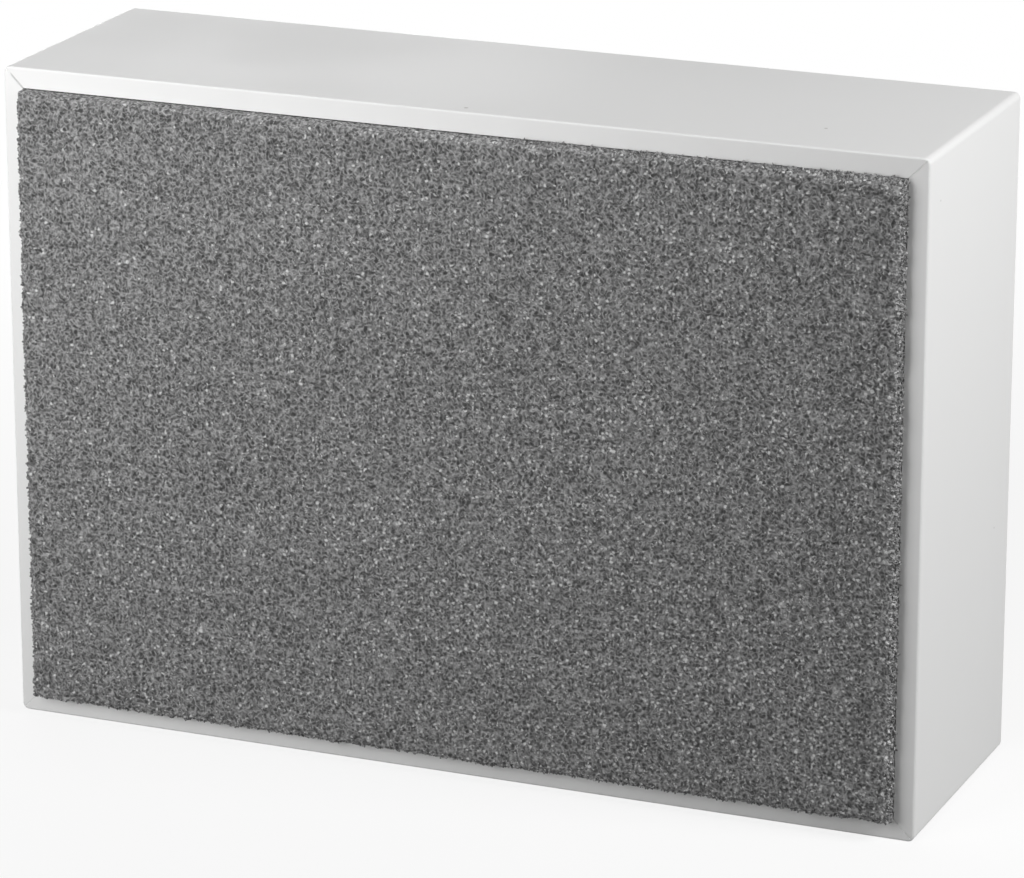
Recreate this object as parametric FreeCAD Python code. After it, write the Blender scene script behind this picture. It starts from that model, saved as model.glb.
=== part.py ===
import FreeCAD, Part

import math
import os

# Wall speaker: a mitred cabinet with a foam front, a dual-cone driver and a line transformer.
# Millimetres. The origin is the centre of the back, on the wall plane. +X is to the right as seen
# from the front, +Y points into the wall and +Z is up, so the foam looks along -Y.

# Cabinet boards
cabinet_width = 264.0
cabinet_height = 186.0
wall_thickness = 10.0
front_rim = 5.7
edge_radius = 1.8
front_edge_radius = 0.6
mitre_groove = 0.15
baffle_thickness = 8.0
baffle_bevel = 3.0
rear_panel_thickness = 6.0
rear_rebate = 5.0
board_gap = 0.25
corner_block_size = 18.0
corner_block_chamfer = 7.0

# Foam front
foam_thickness = 13.0
foam_proud = 5.0
foam_gap = 0.3
foam_edge_radius = 2.0

# Driver frame
flange_radius = 67.0
flange_rim = 8.5
surround_seat = 7.0
basket_sheet = 1.2
basket_lip_depth = 5.4
basket_cup_depth = 5.5
basket_floor_hole = 15.0
gasket_thickness = 2.0
gasket_setback = 1.5
driver_bolt_count = 4
window_angle = 64.0
window_margin = 2.0

# Driver suspension and cones
surround_width = 9.0
surround_sheet = 0.6
surround_pleats = 3
surround_pleat_height = 1.2
cone_lip = 3.0
cone_lip_gap = 0.8
cone_depth = 16.0
cone_sheet = 0.8
cone_collar = 1.0
whizzer_radius = 27.0
whizzer_depth = 10.0
whizzer_sheet = 0.4
whizzer_collar = 1.2
whizzer_lead = 2.0
dust_cap_height = 4.5
dust_cap_sheet = 0.4
spider_gap = 0.8
spider_sheet = 0.6
spider_seat_radius = 36.5
spider_seat_width = 6.5
spider_inner_ring = 3.0
spider_pleats = 4
spider_pleat_height = 0.8
seat_overhang = 0.5
seat_side_gap = 0.3

# Voice coil and magnet
coil_radius = 12.9
former_wall = 0.3
former_tail = 1.0
former_lead = 0.2
winding_build = 0.5
winding_length = 9.0
glue_gap = 0.05
pole_clearance = 0.4
plate_clearance = 0.5
top_plate_radius = 35.0
top_plate_thickness = 4.0
magnet_radius = 36.0
magnet_bore = 17.0
magnet_thickness = 13.0
yoke_radius = 34.0
yoke_thickness = 4.5
magnet_clearance = 6.8

# Driver tags and leads
tag_board_length = 22.0
tag_board_width = 6.0
tag_board_thickness = 1.5
tag_spacing = 10.0
tag_width = 4.0
tag_sheet = 0.6
tag_height = 10.0
tag_foot = 4.0
tinsel_radius = 0.5
tinsel_height = 7.5
tinsel_sag = 4.0
tinsel_reach = 30.0
tinsel_gap = 0.4

# Line transformer
core_width = 48.0
core_height = 40.0
core_stack = 16.0
core_leg = 8.0
bobbin_wall = 1.0
bobbin_flange = 1.2
bobbin_gap = 0.2
bobbin_overhang = 9.0
winding_setback = 1.0
pin_radius = 0.5
pin_length = 5.0
pin_root = 2.0
pin_pitch = 8.0
bracket_sheet = 1.0
bracket_width = 14.0
bracket_foot = 12.0
bracket_gap = 0.1
transformer_driver_gap = 8.0
transformer_rise = 28.0

# Terminal cup and strip
cup_flange_width = 80.0
cup_flange_height = 54.0
cup_flange_thickness = 2.0
cup_flange_margin = 7.0
cup_depth = 24.0
cup_wall = 2.0
cup_corner = 4.0
cup_bottom_gap = 18.0
pole_count = 4
pole_pitch = 8.0
strip_end = 2.0
strip_depth = 11.0
strip_height = 16.0
strip_drop = 4.0
fin_width = 1.2
fin_height = 1.5
clamp_radius = 2.5
clamp_bore = 1.6
clamp_inset = 1.5
clamp_rise = 4.5
clamp_gap = 0.1
clamp_screw_radius = 1.2
clamp_screw_head = 2.0
clamp_screw_head_height = 1.6
clamp_screw_neck = 0.8
well_gap = 0.3
peg_radius = 1.5
peg_head_radius = 2.4
peg_head_height = 1.0

# Keyhole hangers
hanger_inset = 42.0
hanger_drop = 40.0
hanger_width = 20.0
hanger_height = 43.0
hanger_sheet = 1.5
hanger_offset = 3.5
hanger_corner = 9.0
hanger_screw_spacing = 31.0
keyhole_radius = 4.5
keyhole_slot_radius = 2.3
keyhole_lift = 9.0
keyhole_pocket_gap = 1.0

# Screws: head radius, shank radius and length
panel_screw_head = 3.5
panel_screw_shank = 1.75
panel_screw_length = 22.0
hanger_screw_head = 3.0
hanger_screw_shank = 1.5
hanger_screw_length = 5.3
cup_screw_head = 2.2
cup_screw_shank = 1.2
cup_screw_length = 5.0
driver_screw_head = 3.2
driver_screw_shank = 1.75
driver_screw_length = 9.5
transformer_screw_head = 3.0
transformer_screw_shank = 1.6
transformer_screw_length = 7.5
pan_head_height = 2.2
screw_sink = 0.15
screw_gap = 0.05
through_gap = 0.25
cross_slot = 0.8
cross_reach = 0.6
cross_depth = 1.0

# Wires
wire_radius = 0.9
wire_bend = 4.0
wire_hole_radius = 2.0
line_wire_rise = 8.0
line_wire_tuck = 2.0
speaker_wire_rise = 13.0
speaker_wire_step = 4.0

# Margin by which cutting solids pass the faces they cut
over = 1.0

# Depths of the driver's levels behind the back of the baffle
seat_level = gasket_thickness + surround_sheet
neck_level = seat_level + cone_depth
spider_level = neck_level + cone_collar + spider_gap
spider_seat_level = spider_level + spider_sheet
floor_level = spider_seat_level + basket_cup_depth
plate_level = floor_level + basket_sheet
magnet_level = plate_level + top_plate_thickness
yoke_level = magnet_level + magnet_thickness
driver_depth = yoke_level + yoke_thickness
gap_level = plate_level + top_plate_thickness / 2

# Levels of the cabinet along Y
foam_recess = foam_thickness - foam_proud
cabinet_depth = foam_recess + baffle_thickness + driver_depth + magnet_clearance + rear_panel_thickness
front_y = -cabinet_depth
baffle_front_y = front_y + foam_recess
baffle_rear_y = baffle_front_y + baffle_thickness
panel_inner_y = -rear_panel_thickness

# Places across the cabinet
half_width = cabinet_width / 2
half_height = cabinet_height / 2
inner_half_width = half_width - wall_thickness
inner_half_height = half_height - wall_thickness
bracket_half_length = core_width / 2 + bracket_gap + bracket_sheet + bracket_foot
side_room = inner_half_width - flange_radius - bracket_half_length - transformer_driver_gap / 2
driver_x = -inner_half_width + side_room + flange_radius
transformer_x = inner_half_width - side_room - bracket_half_length
transformer_z = transformer_rise
cup_x = transformer_x
cup_z = -inner_half_height + cup_bottom_gap + cup_flange_height / 2
hanger_x = half_width - hanger_inset
hanger_z = half_height - hanger_drop

# Radii of the driver
seat_outer = flange_radius - flange_rim
seat_inner = seat_outer - surround_seat
baffle_hole_radius = seat_inner + gasket_setback
gasket_inner = baffle_hole_radius + gasket_setback
surround_rim_inner = seat_inner - seat_overhang
surround_inner = surround_rim_inner - surround_width
cone_lip_outer = surround_inner - cone_lip_gap
cone_radius = surround_inner - cone_lip
neck_radius = coil_radius + glue_gap
spider_rim_inner = spider_seat_radius - spider_seat_width - seat_overhang
spider_inner = neck_radius + spider_inner_ring
pole_radius = coil_radius - former_wall - pole_clearance
plate_bore = coil_radius + winding_build + plate_clearance
bolt_circle = (seat_outer + basket_sheet + flange_radius) / 2
former_front = neck_level - whizzer_lead - former_lead
former_rear = gap_level + winding_length / 2 + former_tail

# Places of the tags, the pins and the terminals
tag_board_level = seat_level + basket_sheet
tag_level = tag_board_level + tag_board_thickness
tag_tip_y = baffle_rear_y + tag_level + tag_height
tag_board_z = seat_inner + basket_sheet + seat_side_gap + tag_board_width / 2
tag_z = tag_board_z + tag_foot / 2
tag_places = [driver_x - tag_spacing / 2, driver_x + tag_spacing / 2]
core_far_y = baffle_rear_y + core_height
bobbin_far_y = core_far_y - core_leg - bobbin_gap
pin_y = bobbin_far_y - bobbin_flange / 2
bobbin_reach = core_stack / 2 + bobbin_overhang
line_pins = [transformer_x + (k - (pole_count - 1) / 2) * pin_pitch for k in range(pole_count)]
speaker_pins = [transformer_x - pin_pitch, transformer_x + pin_pitch]
line_pin_z = transformer_z - bobbin_reach - pin_length
speaker_pin_z = transformer_z + bobbin_reach + pin_length
cup_floor_y = -cup_depth + cup_wall
strip_z = cup_z - strip_drop
strip_face_y = cup_floor_y + strip_depth
poles = [cup_x + (k - (pole_count - 1) / 2) * pole_pitch for k in range(pole_count)]
clamp_y = cup_floor_y + clamp_rise
clamp_length = strip_height - 2 * clamp_inset
line_hole_z = strip_z + strip_height / 2 + line_wire_rise


def point(x, y, z):
    """A point or direction in the part's frame."""
    return FreeCAD.Vector(x, y, z)


def block(width, depth, height, x, y, z):
    """A box centred on x and z that starts at y and runs towards the wall."""
    return Part.makeBox(width, depth, height, point(x - width / 2, y, z - height / 2))


def rounded_block(width, depth, height, x, y, z, radius):
    """A box like block() whose four edges along Y are rounded."""
    solid = block(width, depth, height, x, y, z)
    along_y = [edge for edge in solid.Edges if abs(edge.tangentAt(edge.FirstParameter).y) > 0.5]
    return solid.makeFillet(radius, along_y)


def rim_edges(solid, y):
    """The edges of a solid that lie in the plane y."""
    return [edge for edge in solid.Edges if all(abs(vertex.Y - y) < over / 10 for vertex in edge.Vertexes)]


def rod(radius, length, x, y, z):
    """A cylinder along Y that starts at y and runs towards the wall."""
    return Part.makeCylinder(radius, length, point(x, y, z), point(0, 1, 0))


def upright_rod(radius, length, x, y, z):
    """A cylinder along Z that starts at z and runs upwards."""
    return Part.makeCylinder(radius, length, point(x, y, z), point(0, 0, 1))


def obround(radius, depth, x, y, z, lift):
    """A prism along Y with the outline of a slot that rises from z by lift."""
    middle = block(2 * radius, depth, lift, x, y, z + lift / 2)
    return middle.fuse([rod(radius, depth, x, y, z), rod(radius, depth, x, y, z + lift)]).removeSplitter()


def turned(outline, x, z, y=0.0):
    """A solid turned about an axis along Y from (radius, depth) points, closed in order."""
    corners = [point(x + radius, y + depth, z) for radius, depth in outline]
    face = Part.Face(Part.makePolygon(corners + corners[:1]))
    return face.revolve(point(x, 0, z), point(0, 1, 0), 360)


def driver_turned(outline):
    """A solid turned about the driver's axis, with depths behind the back of the baffle."""
    return turned(outline, driver_x, 0.0, baffle_rear_y)


def ring(inner, outer, front, rear):
    """The outline of a plain ring."""
    return [(inner, front), (outer, front), (outer, rear), (inner, rear)]


def sheet_outline(front, thickness):
    """Close an outline behind a front line of (radius, depth) points that runs from the rim inwards."""
    normals = []
    for (r0, d0), (r1, d1) in zip(front, front[1:]):
        length = math.hypot(r1 - r0, d1 - d0)
        normals.append(((d1 - d0) / length, (r0 - r1) / length))
    back = []
    for k, (radius, depth) in enumerate(front):
        before = normals[max(k - 1, 0)]
        after = normals[min(k, len(normals) - 1)]
        stretch = thickness / (1 + before[0] * after[0] + before[1] * after[1])
        back.append((radius + (before[0] + after[0]) * stretch, depth + (before[1] + after[1]) * stretch))
    return front + back[::-1]


def pleats(outer, inner, count, height, level):
    """Points of a pleated line between two radii, folding forward first."""
    folds = []
    for k in range(2 * count):
        share = (k + 0.5) / (2 * count)
        side = -1 if k % 2 == 0 else 1
        folds.append((outer + (inner - outer) * share, level + side * height))
    return folds


def tube(route, radius, bend):
    """A round wire along a route of straight runs joined by tangent arcs."""
    stops = [route[0]]
    for stop in route[1:]:
        if stop.distanceToPoint(stops[-1]) > over / 10:
            stops.append(stop)
    edges = []
    start = stops[0]
    for before, corner, after in zip(stops, stops[1:], stops[2:]):
        to_before = (before - corner).normalize()
        to_after = (after - corner).normalize()
        half_turn = (math.pi - to_before.getAngle(to_after)) / 2
        shorter = min(before.distanceToPoint(corner), after.distanceToPoint(corner))
        arc_radius = min(bend, 0.45 * shorter / math.tan(half_turn))
        setback = arc_radius * math.tan(half_turn)
        bisector = (to_before + to_after).normalize()
        middle = corner + bisector * (arc_radius / math.cos(half_turn) - arc_radius)
        arc_start = corner + to_before * setback
        arc_end = corner + to_after * setback
        edges.append(Part.LineSegment(start, arc_start).toShape())
        edges.append(Part.Arc(arc_start, middle, arc_end).toShape())
        start = arc_end
    edges.append(Part.LineSegment(start, stops[-1]).toShape())
    path = Part.Wire(edges)
    section = Part.Face(Part.Wire(Part.makeCircle(radius, stops[0], stops[1] - stops[0])))
    solid = path.makePipe(section)
    expected = math.pi * radius ** 2 * path.Length
    print("wire of length %.1f, volume %.1f of %.1f" % (path.Length, solid.Volume, expected))
    return solid


def countersunk(head, shank, length, x, y, z, gap=0.0):
    """A countersunk screw with its head at y, or with a gap the hole that it sits in, open above the head."""
    cone_end = -(head - shank)
    outline = [(0, 0), (head, 0), (shank, cone_end)]
    if gap > 0:
        mouth = screw_sink + over
        outline = [(0, mouth), (head + gap, mouth), (head + gap, 0), (shank + gap, cone_end)]
    return turned(outline + [(shank + gap, -length - gap), (0, -length - gap)], x, z, y)


def pan_head(head, shank, length, x, y, z):
    """A screw whose rounded head sits on the plane y and whose shank runs forwards."""
    outline = [(0, pan_head_height), (0.65 * head, pan_head_height), (head, 0.5 * pan_head_height)]
    return turned(outline + [(head, 0), (shank, 0), (shank, -length), (0, -length)], x, z, y)


def crossed(screw, head, x, y, z):
    """Cut a cross recess into the head of a screw whose top is at y."""
    reach = 2 * cross_reach * head
    flat = block(reach, cross_depth + over, cross_slot, x, y - cross_depth, z)
    upright = block(cross_slot, cross_depth + over, reach, x, y - cross_depth, z)
    return screw.cut([flat, upright])


def around(places, angle):
    """Unit directions of a number of places spread evenly round the driver."""
    turns = [math.radians(angle + 360 * k / places) for k in range(places)]
    return [(math.cos(turn), math.sin(turn)) for turn in turns]


def mirrored(x, z):
    """The four places at plus and minus x and z."""
    return [(x, z), (-x, z), (-x, -z), (x, -z)]


corner_block_x = inner_half_width - corner_block_size / 2
corner_block_z = inner_half_height - corner_block_size / 2
panel_screw_places = mirrored(corner_block_x, corner_block_z)
cup_screw_x = (cup_flange_width - cup_flange_margin) / 2
cup_screw_z = (cup_flange_height - cup_flange_margin) / 2
cup_screw_places = [(cup_x + x, cup_z + z) for x, z in mirrored(cup_screw_x, cup_screw_z)]
hanger_places = {"left": -hanger_x, "right": hanger_x}
hanger_middle_z = hanger_z + hanger_offset
hanger_screw_heights = [hanger_middle_z - hanger_screw_spacing / 2, hanger_middle_z + hanger_screw_spacing / 2]
hanger_screw_places = [(x, z) for x in hanger_places.values() for z in hanger_screw_heights]
driver_screw_places = [(driver_x + bolt_circle * c, bolt_circle * s) for c, s in around(driver_bolt_count, 45)]
foot_x = core_width / 2 + bracket_gap + bracket_sheet + bracket_foot / 2
transformer_screw_places = [(transformer_x - foot_x, transformer_z), (transformer_x + foot_x, transformer_z)]
flange_rear_y = baffle_rear_y + gasket_thickness + basket_sheet


def cabinet_walls():
    """Four boards of one rebated section, mitred at the corners."""
    shell = rounded_block(cabinet_width, cabinet_depth, cabinet_height, 0, front_y, 0, edge_radius)
    shell = shell.makeFillet(front_edge_radius, rim_edges(shell, front_y))
    shell = shell.makeFillet(edge_radius, rim_edges(shell, 0))
    front_depth = baffle_rear_y - front_y
    front_cut = block(cabinet_width - 2 * front_rim, front_depth + over, cabinet_height - 2 * front_rim,
                      0, front_y - over, 0)
    inside = block(2 * inner_half_width, cabinet_depth + 2 * over, 2 * inner_half_height, 0, front_y - over, 0)
    rear_cut = block(2 * (inner_half_width + rear_rebate), rear_panel_thickness + over,
                     2 * (inner_half_height + rear_rebate), 0, panel_inner_y, 0)
    shell = shell.cut([front_cut, inside, rear_cut])

    # A fine V along each front mitre, made by a square bar laid on its edge
    bar_side = mitre_groove * math.sqrt(2)
    bar_length = 4 * front_rim
    for turn, (x, z) in zip((45, 135, 225, 315), mirrored(half_width, half_height)):
        bar = Part.makeBox(bar_length, bar_side, bar_side, point(-bar_length / 2, -bar_side / 2, -bar_side / 2))
        bar.rotate(point(0, 0, 0), point(1, 0, 0), 45)
        bar.rotate(point(0, 0, 0), point(0, -1, 0), turn)
        bar.translate(point(x, front_y, z))
        shell = shell.cut(bar)

    # Each board is the part of the shell between two planes at 45 degrees
    reach = wall_thickness + over
    outer = mirrored(half_width + over, half_height + over)
    inner = mirrored(half_width - reach, half_height - reach)
    walls = {}
    for k, name in enumerate(("top", "left", "bottom", "right")):
        following = (k + 1) % 4
        corners = [outer[k], outer[following], inner[following], inner[k]]
        corners = [point(x, front_y - over, z) for x, z in corners]
        wedge = Part.Face(Part.makePolygon(corners + corners[:1])).extrude(point(0, cabinet_depth + 2 * over, 0))
        walls["wall_" + name] = shell.common(wedge)
    return walls


def corner_blocks():
    """Glue blocks behind the mitres, which the rear panel screws hold in."""
    names = ("top_right", "top_left", "bottom_left", "bottom_right")
    depth = panel_inner_y - baffle_rear_y
    blocks = {}
    for name, (x, z) in zip(names, panel_screw_places):
        solid = block(corner_block_size, depth, corner_block_size, x, baffle_rear_y, z)
        inner_x = x - math.copysign(corner_block_size / 2, x)
        inner_z = z - math.copysign(corner_block_size / 2, z)
        inner_edge = [edge for edge in solid.Edges
                      if all(math.hypot(v.X - inner_x, v.Z - inner_z) < over / 10 for v in edge.Vertexes)]
        solid = solid.makeChamfer(corner_block_chamfer, inner_edge)
        hole = rod(panel_screw_shank + screw_gap, panel_screw_length, x, -panel_screw_length - over, z)
        blocks["corner_block_" + name] = solid.cut(hole)
    return blocks


def baffle_board():
    """The board behind the foam, with the driver's bevelled opening and its pilot holes."""
    width = cabinet_width - 2 * front_rim - 2 * board_gap
    height = cabinet_height - 2 * front_rim - 2 * board_gap
    board = block(width, baffle_thickness, height, 0, baffle_front_y, 0)
    opening = [(0, -over), (baffle_hole_radius + baffle_bevel + over, -over), (baffle_hole_radius, baffle_bevel),
               (baffle_hole_radius, baffle_thickness + over), (0, baffle_thickness + over)]
    cuts = [turned(opening, driver_x, 0.0, baffle_front_y)]
    driver_reach = driver_screw_length - gasket_thickness - basket_sheet + screw_gap
    for x, z in driver_screw_places:
        cuts.append(rod(driver_screw_shank + screw_gap, driver_reach + over, x, baffle_rear_y - driver_reach, z))
    foot_reach = transformer_screw_length - bracket_sheet + screw_gap
    for x, z in transformer_screw_places:
        cuts.append(rod(transformer_screw_shank + screw_gap, foot_reach + over, x, baffle_rear_y - foot_reach, z))
    return board.cut(cuts)


def foam_front():
    """The foam sheet that fills the front and stands proud of the rim."""
    width = cabinet_width - 2 * front_rim - 2 * foam_gap
    height = cabinet_height - 2 * front_rim - 2 * foam_gap
    sheet = rounded_block(width, foam_thickness, height, 0, front_y - foam_proud, 0, foam_edge_radius)
    return sheet.makeFillet(foam_edge_radius, rim_edges(sheet, front_y - foam_proud))


def rear_panel():
    """The screwed back, let into the walls, with its recesses and openings."""
    width = 2 * (inner_half_width + rear_rebate - board_gap)
    height = 2 * (inner_half_height + rear_rebate - board_gap)
    cuts = []
    for x, z in panel_screw_places:
        cuts.append(countersunk(panel_screw_head, panel_screw_shank, panel_screw_length, x, -screw_sink, z,
                                through_gap))
    for x in hanger_places.values():
        cuts.append(rounded_block(hanger_width + 2 * board_gap, hanger_sheet + over, hanger_height + 2 * board_gap,
                                  x, -hanger_sheet, hanger_middle_z, hanger_corner + board_gap))
        cuts.append(obround(keyhole_radius + keyhole_pocket_gap, rear_panel_thickness + 2 * over,
                            x, panel_inner_y - over, hanger_z, keyhole_lift))
    for x, z in hanger_screw_places:
        cuts.append(countersunk(hanger_screw_head, hanger_screw_shank, hanger_screw_length, x, -screw_sink, z,
                                screw_gap))
    cuts.append(rounded_block(cup_flange_width + 2 * board_gap, cup_flange_thickness + over,
                              cup_flange_height + 2 * board_gap, cup_x, -cup_flange_thickness, cup_z, cup_corner))
    cuts.append(rounded_block(cup_flange_width - 2 * cup_flange_margin + 2 * board_gap, rear_panel_thickness + over,
                              cup_flange_height - 2 * cup_flange_margin + 2 * board_gap,
                              cup_x, panel_inner_y - over, cup_z, cup_corner))
    for x, z in cup_screw_places:
        reach = cup_screw_length + screw_sink + screw_gap
        cuts.append(rod(cup_screw_shank + screw_gap, reach, x, -reach, z))
    return block(width, rear_panel_thickness, height, 0, panel_inner_y, 0).cut(cuts)


def countersunk_group(head, shank, length, places):
    """Cross-slotted countersunk screws just below the back of the cabinet."""
    screws = []
    for x, z in places:
        screw = countersunk(head, shank, length, x, -screw_sink, z)
        screws.append(crossed(screw, head, x, -screw_sink, z))
    return Part.makeCompound(screws)


def pan_head_group(head, shank, length, y, places):
    """Cross-slotted screws with rounded heads on the plane y."""
    screws = []
    for x, z in places:
        screw = pan_head(head, shank, length, x, y, z)
        screws.append(crossed(screw, head, x, y + pan_head_height, z))
    return Part.makeCompound(screws)


def hanger_plate(x):
    """A steel plate with a keyhole that drops over a wall screw."""
    plate = rounded_block(hanger_width, hanger_sheet, hanger_height, x, -hanger_sheet, hanger_middle_z,
                          hanger_corner)
    entry = rod(keyhole_radius, hanger_sheet + 2 * over, x, -hanger_sheet - over, hanger_z)
    slot = obround(keyhole_slot_radius, hanger_sheet + 2 * over, x, -hanger_sheet - over, hanger_z, keyhole_lift)
    holes = [countersunk(hanger_screw_head, hanger_screw_shank, hanger_screw_length, x, -screw_sink, z, screw_gap)
             for z in hanger_screw_heights]
    return plate.cut([entry, slot] + holes)


def terminal_cup():
    """A moulded dish, sunk in the back, that holds the line terminals."""
    dish_width = cup_flange_width - 2 * cup_flange_margin
    dish_height = cup_flange_height - 2 * cup_flange_margin
    flange = rounded_block(cup_flange_width, cup_flange_thickness, cup_flange_height,
                           cup_x, -cup_flange_thickness, cup_z, cup_corner)
    dish = rounded_block(dish_width, cup_depth, dish_height, cup_x, -cup_depth, cup_z, cup_corner)
    hollow = rounded_block(dish_width - 2 * cup_wall, cup_depth, dish_height - 2 * cup_wall,
                           cup_x, cup_floor_y, cup_z, cup_corner - cup_wall)
    cuts = [hollow]
    for x in poles:
        cuts.append(rod(wire_hole_radius, 2 * cup_wall + over, x, -cup_depth - over, line_hole_z))
    for x in peg_places():
        cuts.append(rod(peg_radius + screw_gap, cup_wall + 2 * over, x, -cup_depth - over, strip_z))
    for x, z in cup_screw_places:
        cuts.append(countersunk(cup_screw_head, cup_screw_shank, cup_screw_length, x, -screw_sink, z, screw_gap))
    return flange.fuse(dish).removeSplitter().cut(cuts)


def peg_places():
    """Pegs of the terminal strip, between the outer pairs of poles."""
    return [(poles[0] + poles[1]) / 2, (poles[-2] + poles[-1]) / 2]


def terminal_strip():
    """The insulating body of the terminals, staked through the floor of the cup."""
    length = pole_count * pole_pitch + 2 * strip_end
    body = block(length, strip_depth, strip_height, cup_x, cup_floor_y, strip_z)
    added = []
    for k in range(pole_count + 1):
        x = cup_x + (k - pole_count / 2) * pole_pitch
        added.append(block(fin_width, fin_height, strip_height, x, strip_face_y, strip_z))
    for x in peg_places():
        added.append(rod(peg_radius, cup_wall, x, -cup_depth, strip_z))
        added.append(rod(peg_head_radius, peg_head_height, x, -cup_depth - peg_head_height, strip_z))
    cuts = []
    for x in poles:
        cuts.append(upright_rod(clamp_radius + clamp_gap, strip_height + 2 * over,
                                x, clamp_y, strip_z - strip_height / 2 - over))
        cuts.append(rod(clamp_screw_head + well_gap, strip_depth, x, clamp_y, strip_z))
    return body.fuse(added).removeSplitter().cut(cuts)


def terminal_clamps():
    """Brass sleeves that take a wire at each end."""
    sleeves = []
    for x in poles:
        low = strip_z - clamp_length / 2
        sleeve = upright_rod(clamp_radius, clamp_length, x, clamp_y, low)
        bore = upright_rod(clamp_bore, clamp_length + 2 * over, x, clamp_y, low - over)
        screw_hole = rod(clamp_screw_radius + screw_gap, strip_depth, x, clamp_y, strip_z)
        sleeves.append(sleeve.cut([bore, screw_hole]))
    return Part.makeCompound(sleeves)


def terminal_screws():
    """Slotted screws that press the wires into the sleeves."""
    screws = []
    head_y = clamp_y + clamp_radius + clamp_screw_neck
    top_y = head_y + clamp_screw_head_height
    for x in poles:
        shank = rod(clamp_screw_radius, head_y - clamp_y, x, clamp_y, strip_z)
        head = rod(clamp_screw_head, clamp_screw_head_height, x, head_y, strip_z)
        slot = block(2 * clamp_screw_head, clamp_screw_head_height, cross_slot,
                     x, top_y - clamp_screw_head_height / 2, strip_z)
        screws.append(shank.fuse(head).cut(slot))
    return Part.makeCompound(screws)


def driver_gasket():
    """The ring that seals the driver's flange to the baffle."""
    gasket = driver_turned(ring(gasket_inner, flange_radius, 0, gasket_thickness))
    radius = driver_screw_shank + through_gap
    return gasket.cut([rod(radius, gasket_thickness + 2 * over, x, baffle_rear_y - over, z)
                       for x, z in driver_screw_places])


def driver_basket():
    """The pressed steel frame, with a stepped flange and four windows."""
    front = [(flange_radius, gasket_thickness), (seat_outer, gasket_thickness), (seat_outer, seat_level),
             (seat_inner, seat_level), (seat_inner, seat_level + basket_lip_depth),
             (spider_seat_radius, spider_seat_level),
             (spider_seat_radius - spider_seat_width, spider_seat_level),
             (spider_seat_radius - spider_seat_width, floor_level), (basket_floor_hole, floor_level)]
    basket = driver_turned(sheet_outline(front, basket_sheet))
    cuts = []
    window = [(spider_seat_radius + window_margin, seat_level), (seat_inner - window_margin, seat_level),
              (seat_inner - window_margin, floor_level), (spider_seat_radius + window_margin, floor_level)]
    corners = [point(driver_x + radius, baffle_rear_y + level, 0) for radius, level in window]
    for k in range(4):
        face = Part.Face(Part.makePolygon(corners + corners[:1]))
        face.rotate(point(driver_x, 0, 0), point(0, 1, 0), 90 * k - window_angle / 2)
        cuts.append(face.revolve(point(driver_x, 0, 0), point(0, 1, 0), window_angle))
    for x, z in driver_screw_places:
        cuts.append(rod(driver_screw_shank + through_gap, basket_sheet + 2 * over,
                        x, baffle_rear_y + gasket_thickness - over, z))
    return basket.cut(cuts)


def driver_surround():
    """The pleated cloth edge between the basket and the cone."""
    front = [(seat_outer - seat_side_gap, gasket_thickness), (surround_rim_inner, gasket_thickness)]
    front += pleats(surround_rim_inner, surround_inner, surround_pleats, surround_pleat_height, gasket_thickness)
    front += [(surround_inner, gasket_thickness), (cone_radius, gasket_thickness)]
    return driver_turned(sheet_outline(front, surround_sheet))


def driver_cone():
    """The paper cone, with a flat lip under the surround and a collar on the coil former."""
    front = [(cone_lip_outer, seat_level), (cone_radius, seat_level), (neck_radius, neck_level),
             (neck_radius, neck_level + cone_collar)]
    return driver_turned(sheet_outline(front, cone_sheet))


def driver_whizzer():
    """The small free-edged cone for the treble."""
    collar_front = neck_level - whizzer_lead
    front = [(whizzer_radius, collar_front - whizzer_depth), (neck_radius, collar_front),
             (neck_radius, collar_front + whizzer_collar)]
    return driver_turned(sheet_outline(front, whizzer_sheet))


def driver_dust_cap():
    """A thin dome that closes the front of the coil former."""
    base_y = baffle_rear_y + former_front
    sphere_radius = (coil_radius ** 2 + dust_cap_height ** 2) / (2 * dust_cap_height)
    centre = point(driver_x, base_y - dust_cap_height + sphere_radius, 0)
    skin = Part.makeSphere(sphere_radius, centre).cut(Part.makeSphere(sphere_radius - dust_cap_sheet, centre))
    return skin.common(rod(coil_radius, dust_cap_height + over, driver_x, base_y - dust_cap_height - over, 0))


def driver_spider():
    """The pleated disc that centres the coil."""
    front = [(spider_seat_radius - seat_side_gap, spider_level), (spider_rim_inner, spider_level)]
    front += pleats(spider_rim_inner, spider_inner, spider_pleats, spider_pleat_height, spider_level)
    front += [(spider_inner, spider_level), (neck_radius, spider_level)]
    return driver_turned(sheet_outline(front, spider_sheet))


def magnet_yoke():
    """The back plate of the magnet with its pole."""
    outline = [(0, plate_level), (pole_radius, plate_level), (pole_radius, yoke_level), (yoke_radius, yoke_level),
               (yoke_radius, driver_depth), (0, driver_depth)]
    return driver_turned(outline)


def driver_tags():
    """Brass tags on the tag board, each folded up to take a wire."""
    tags = []
    for x in tag_places:
        foot = block(tag_width, tag_sheet, tag_foot, x, baffle_rear_y + tag_level, tag_z - tag_foot / 2)
        upright = block(tag_width, tag_height, tag_sheet, x, baffle_rear_y + tag_level, tag_z - tag_sheet / 2)
        tags.append(foot.fuse(upright).removeSplitter())
    return Part.makeCompound(tags)


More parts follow.
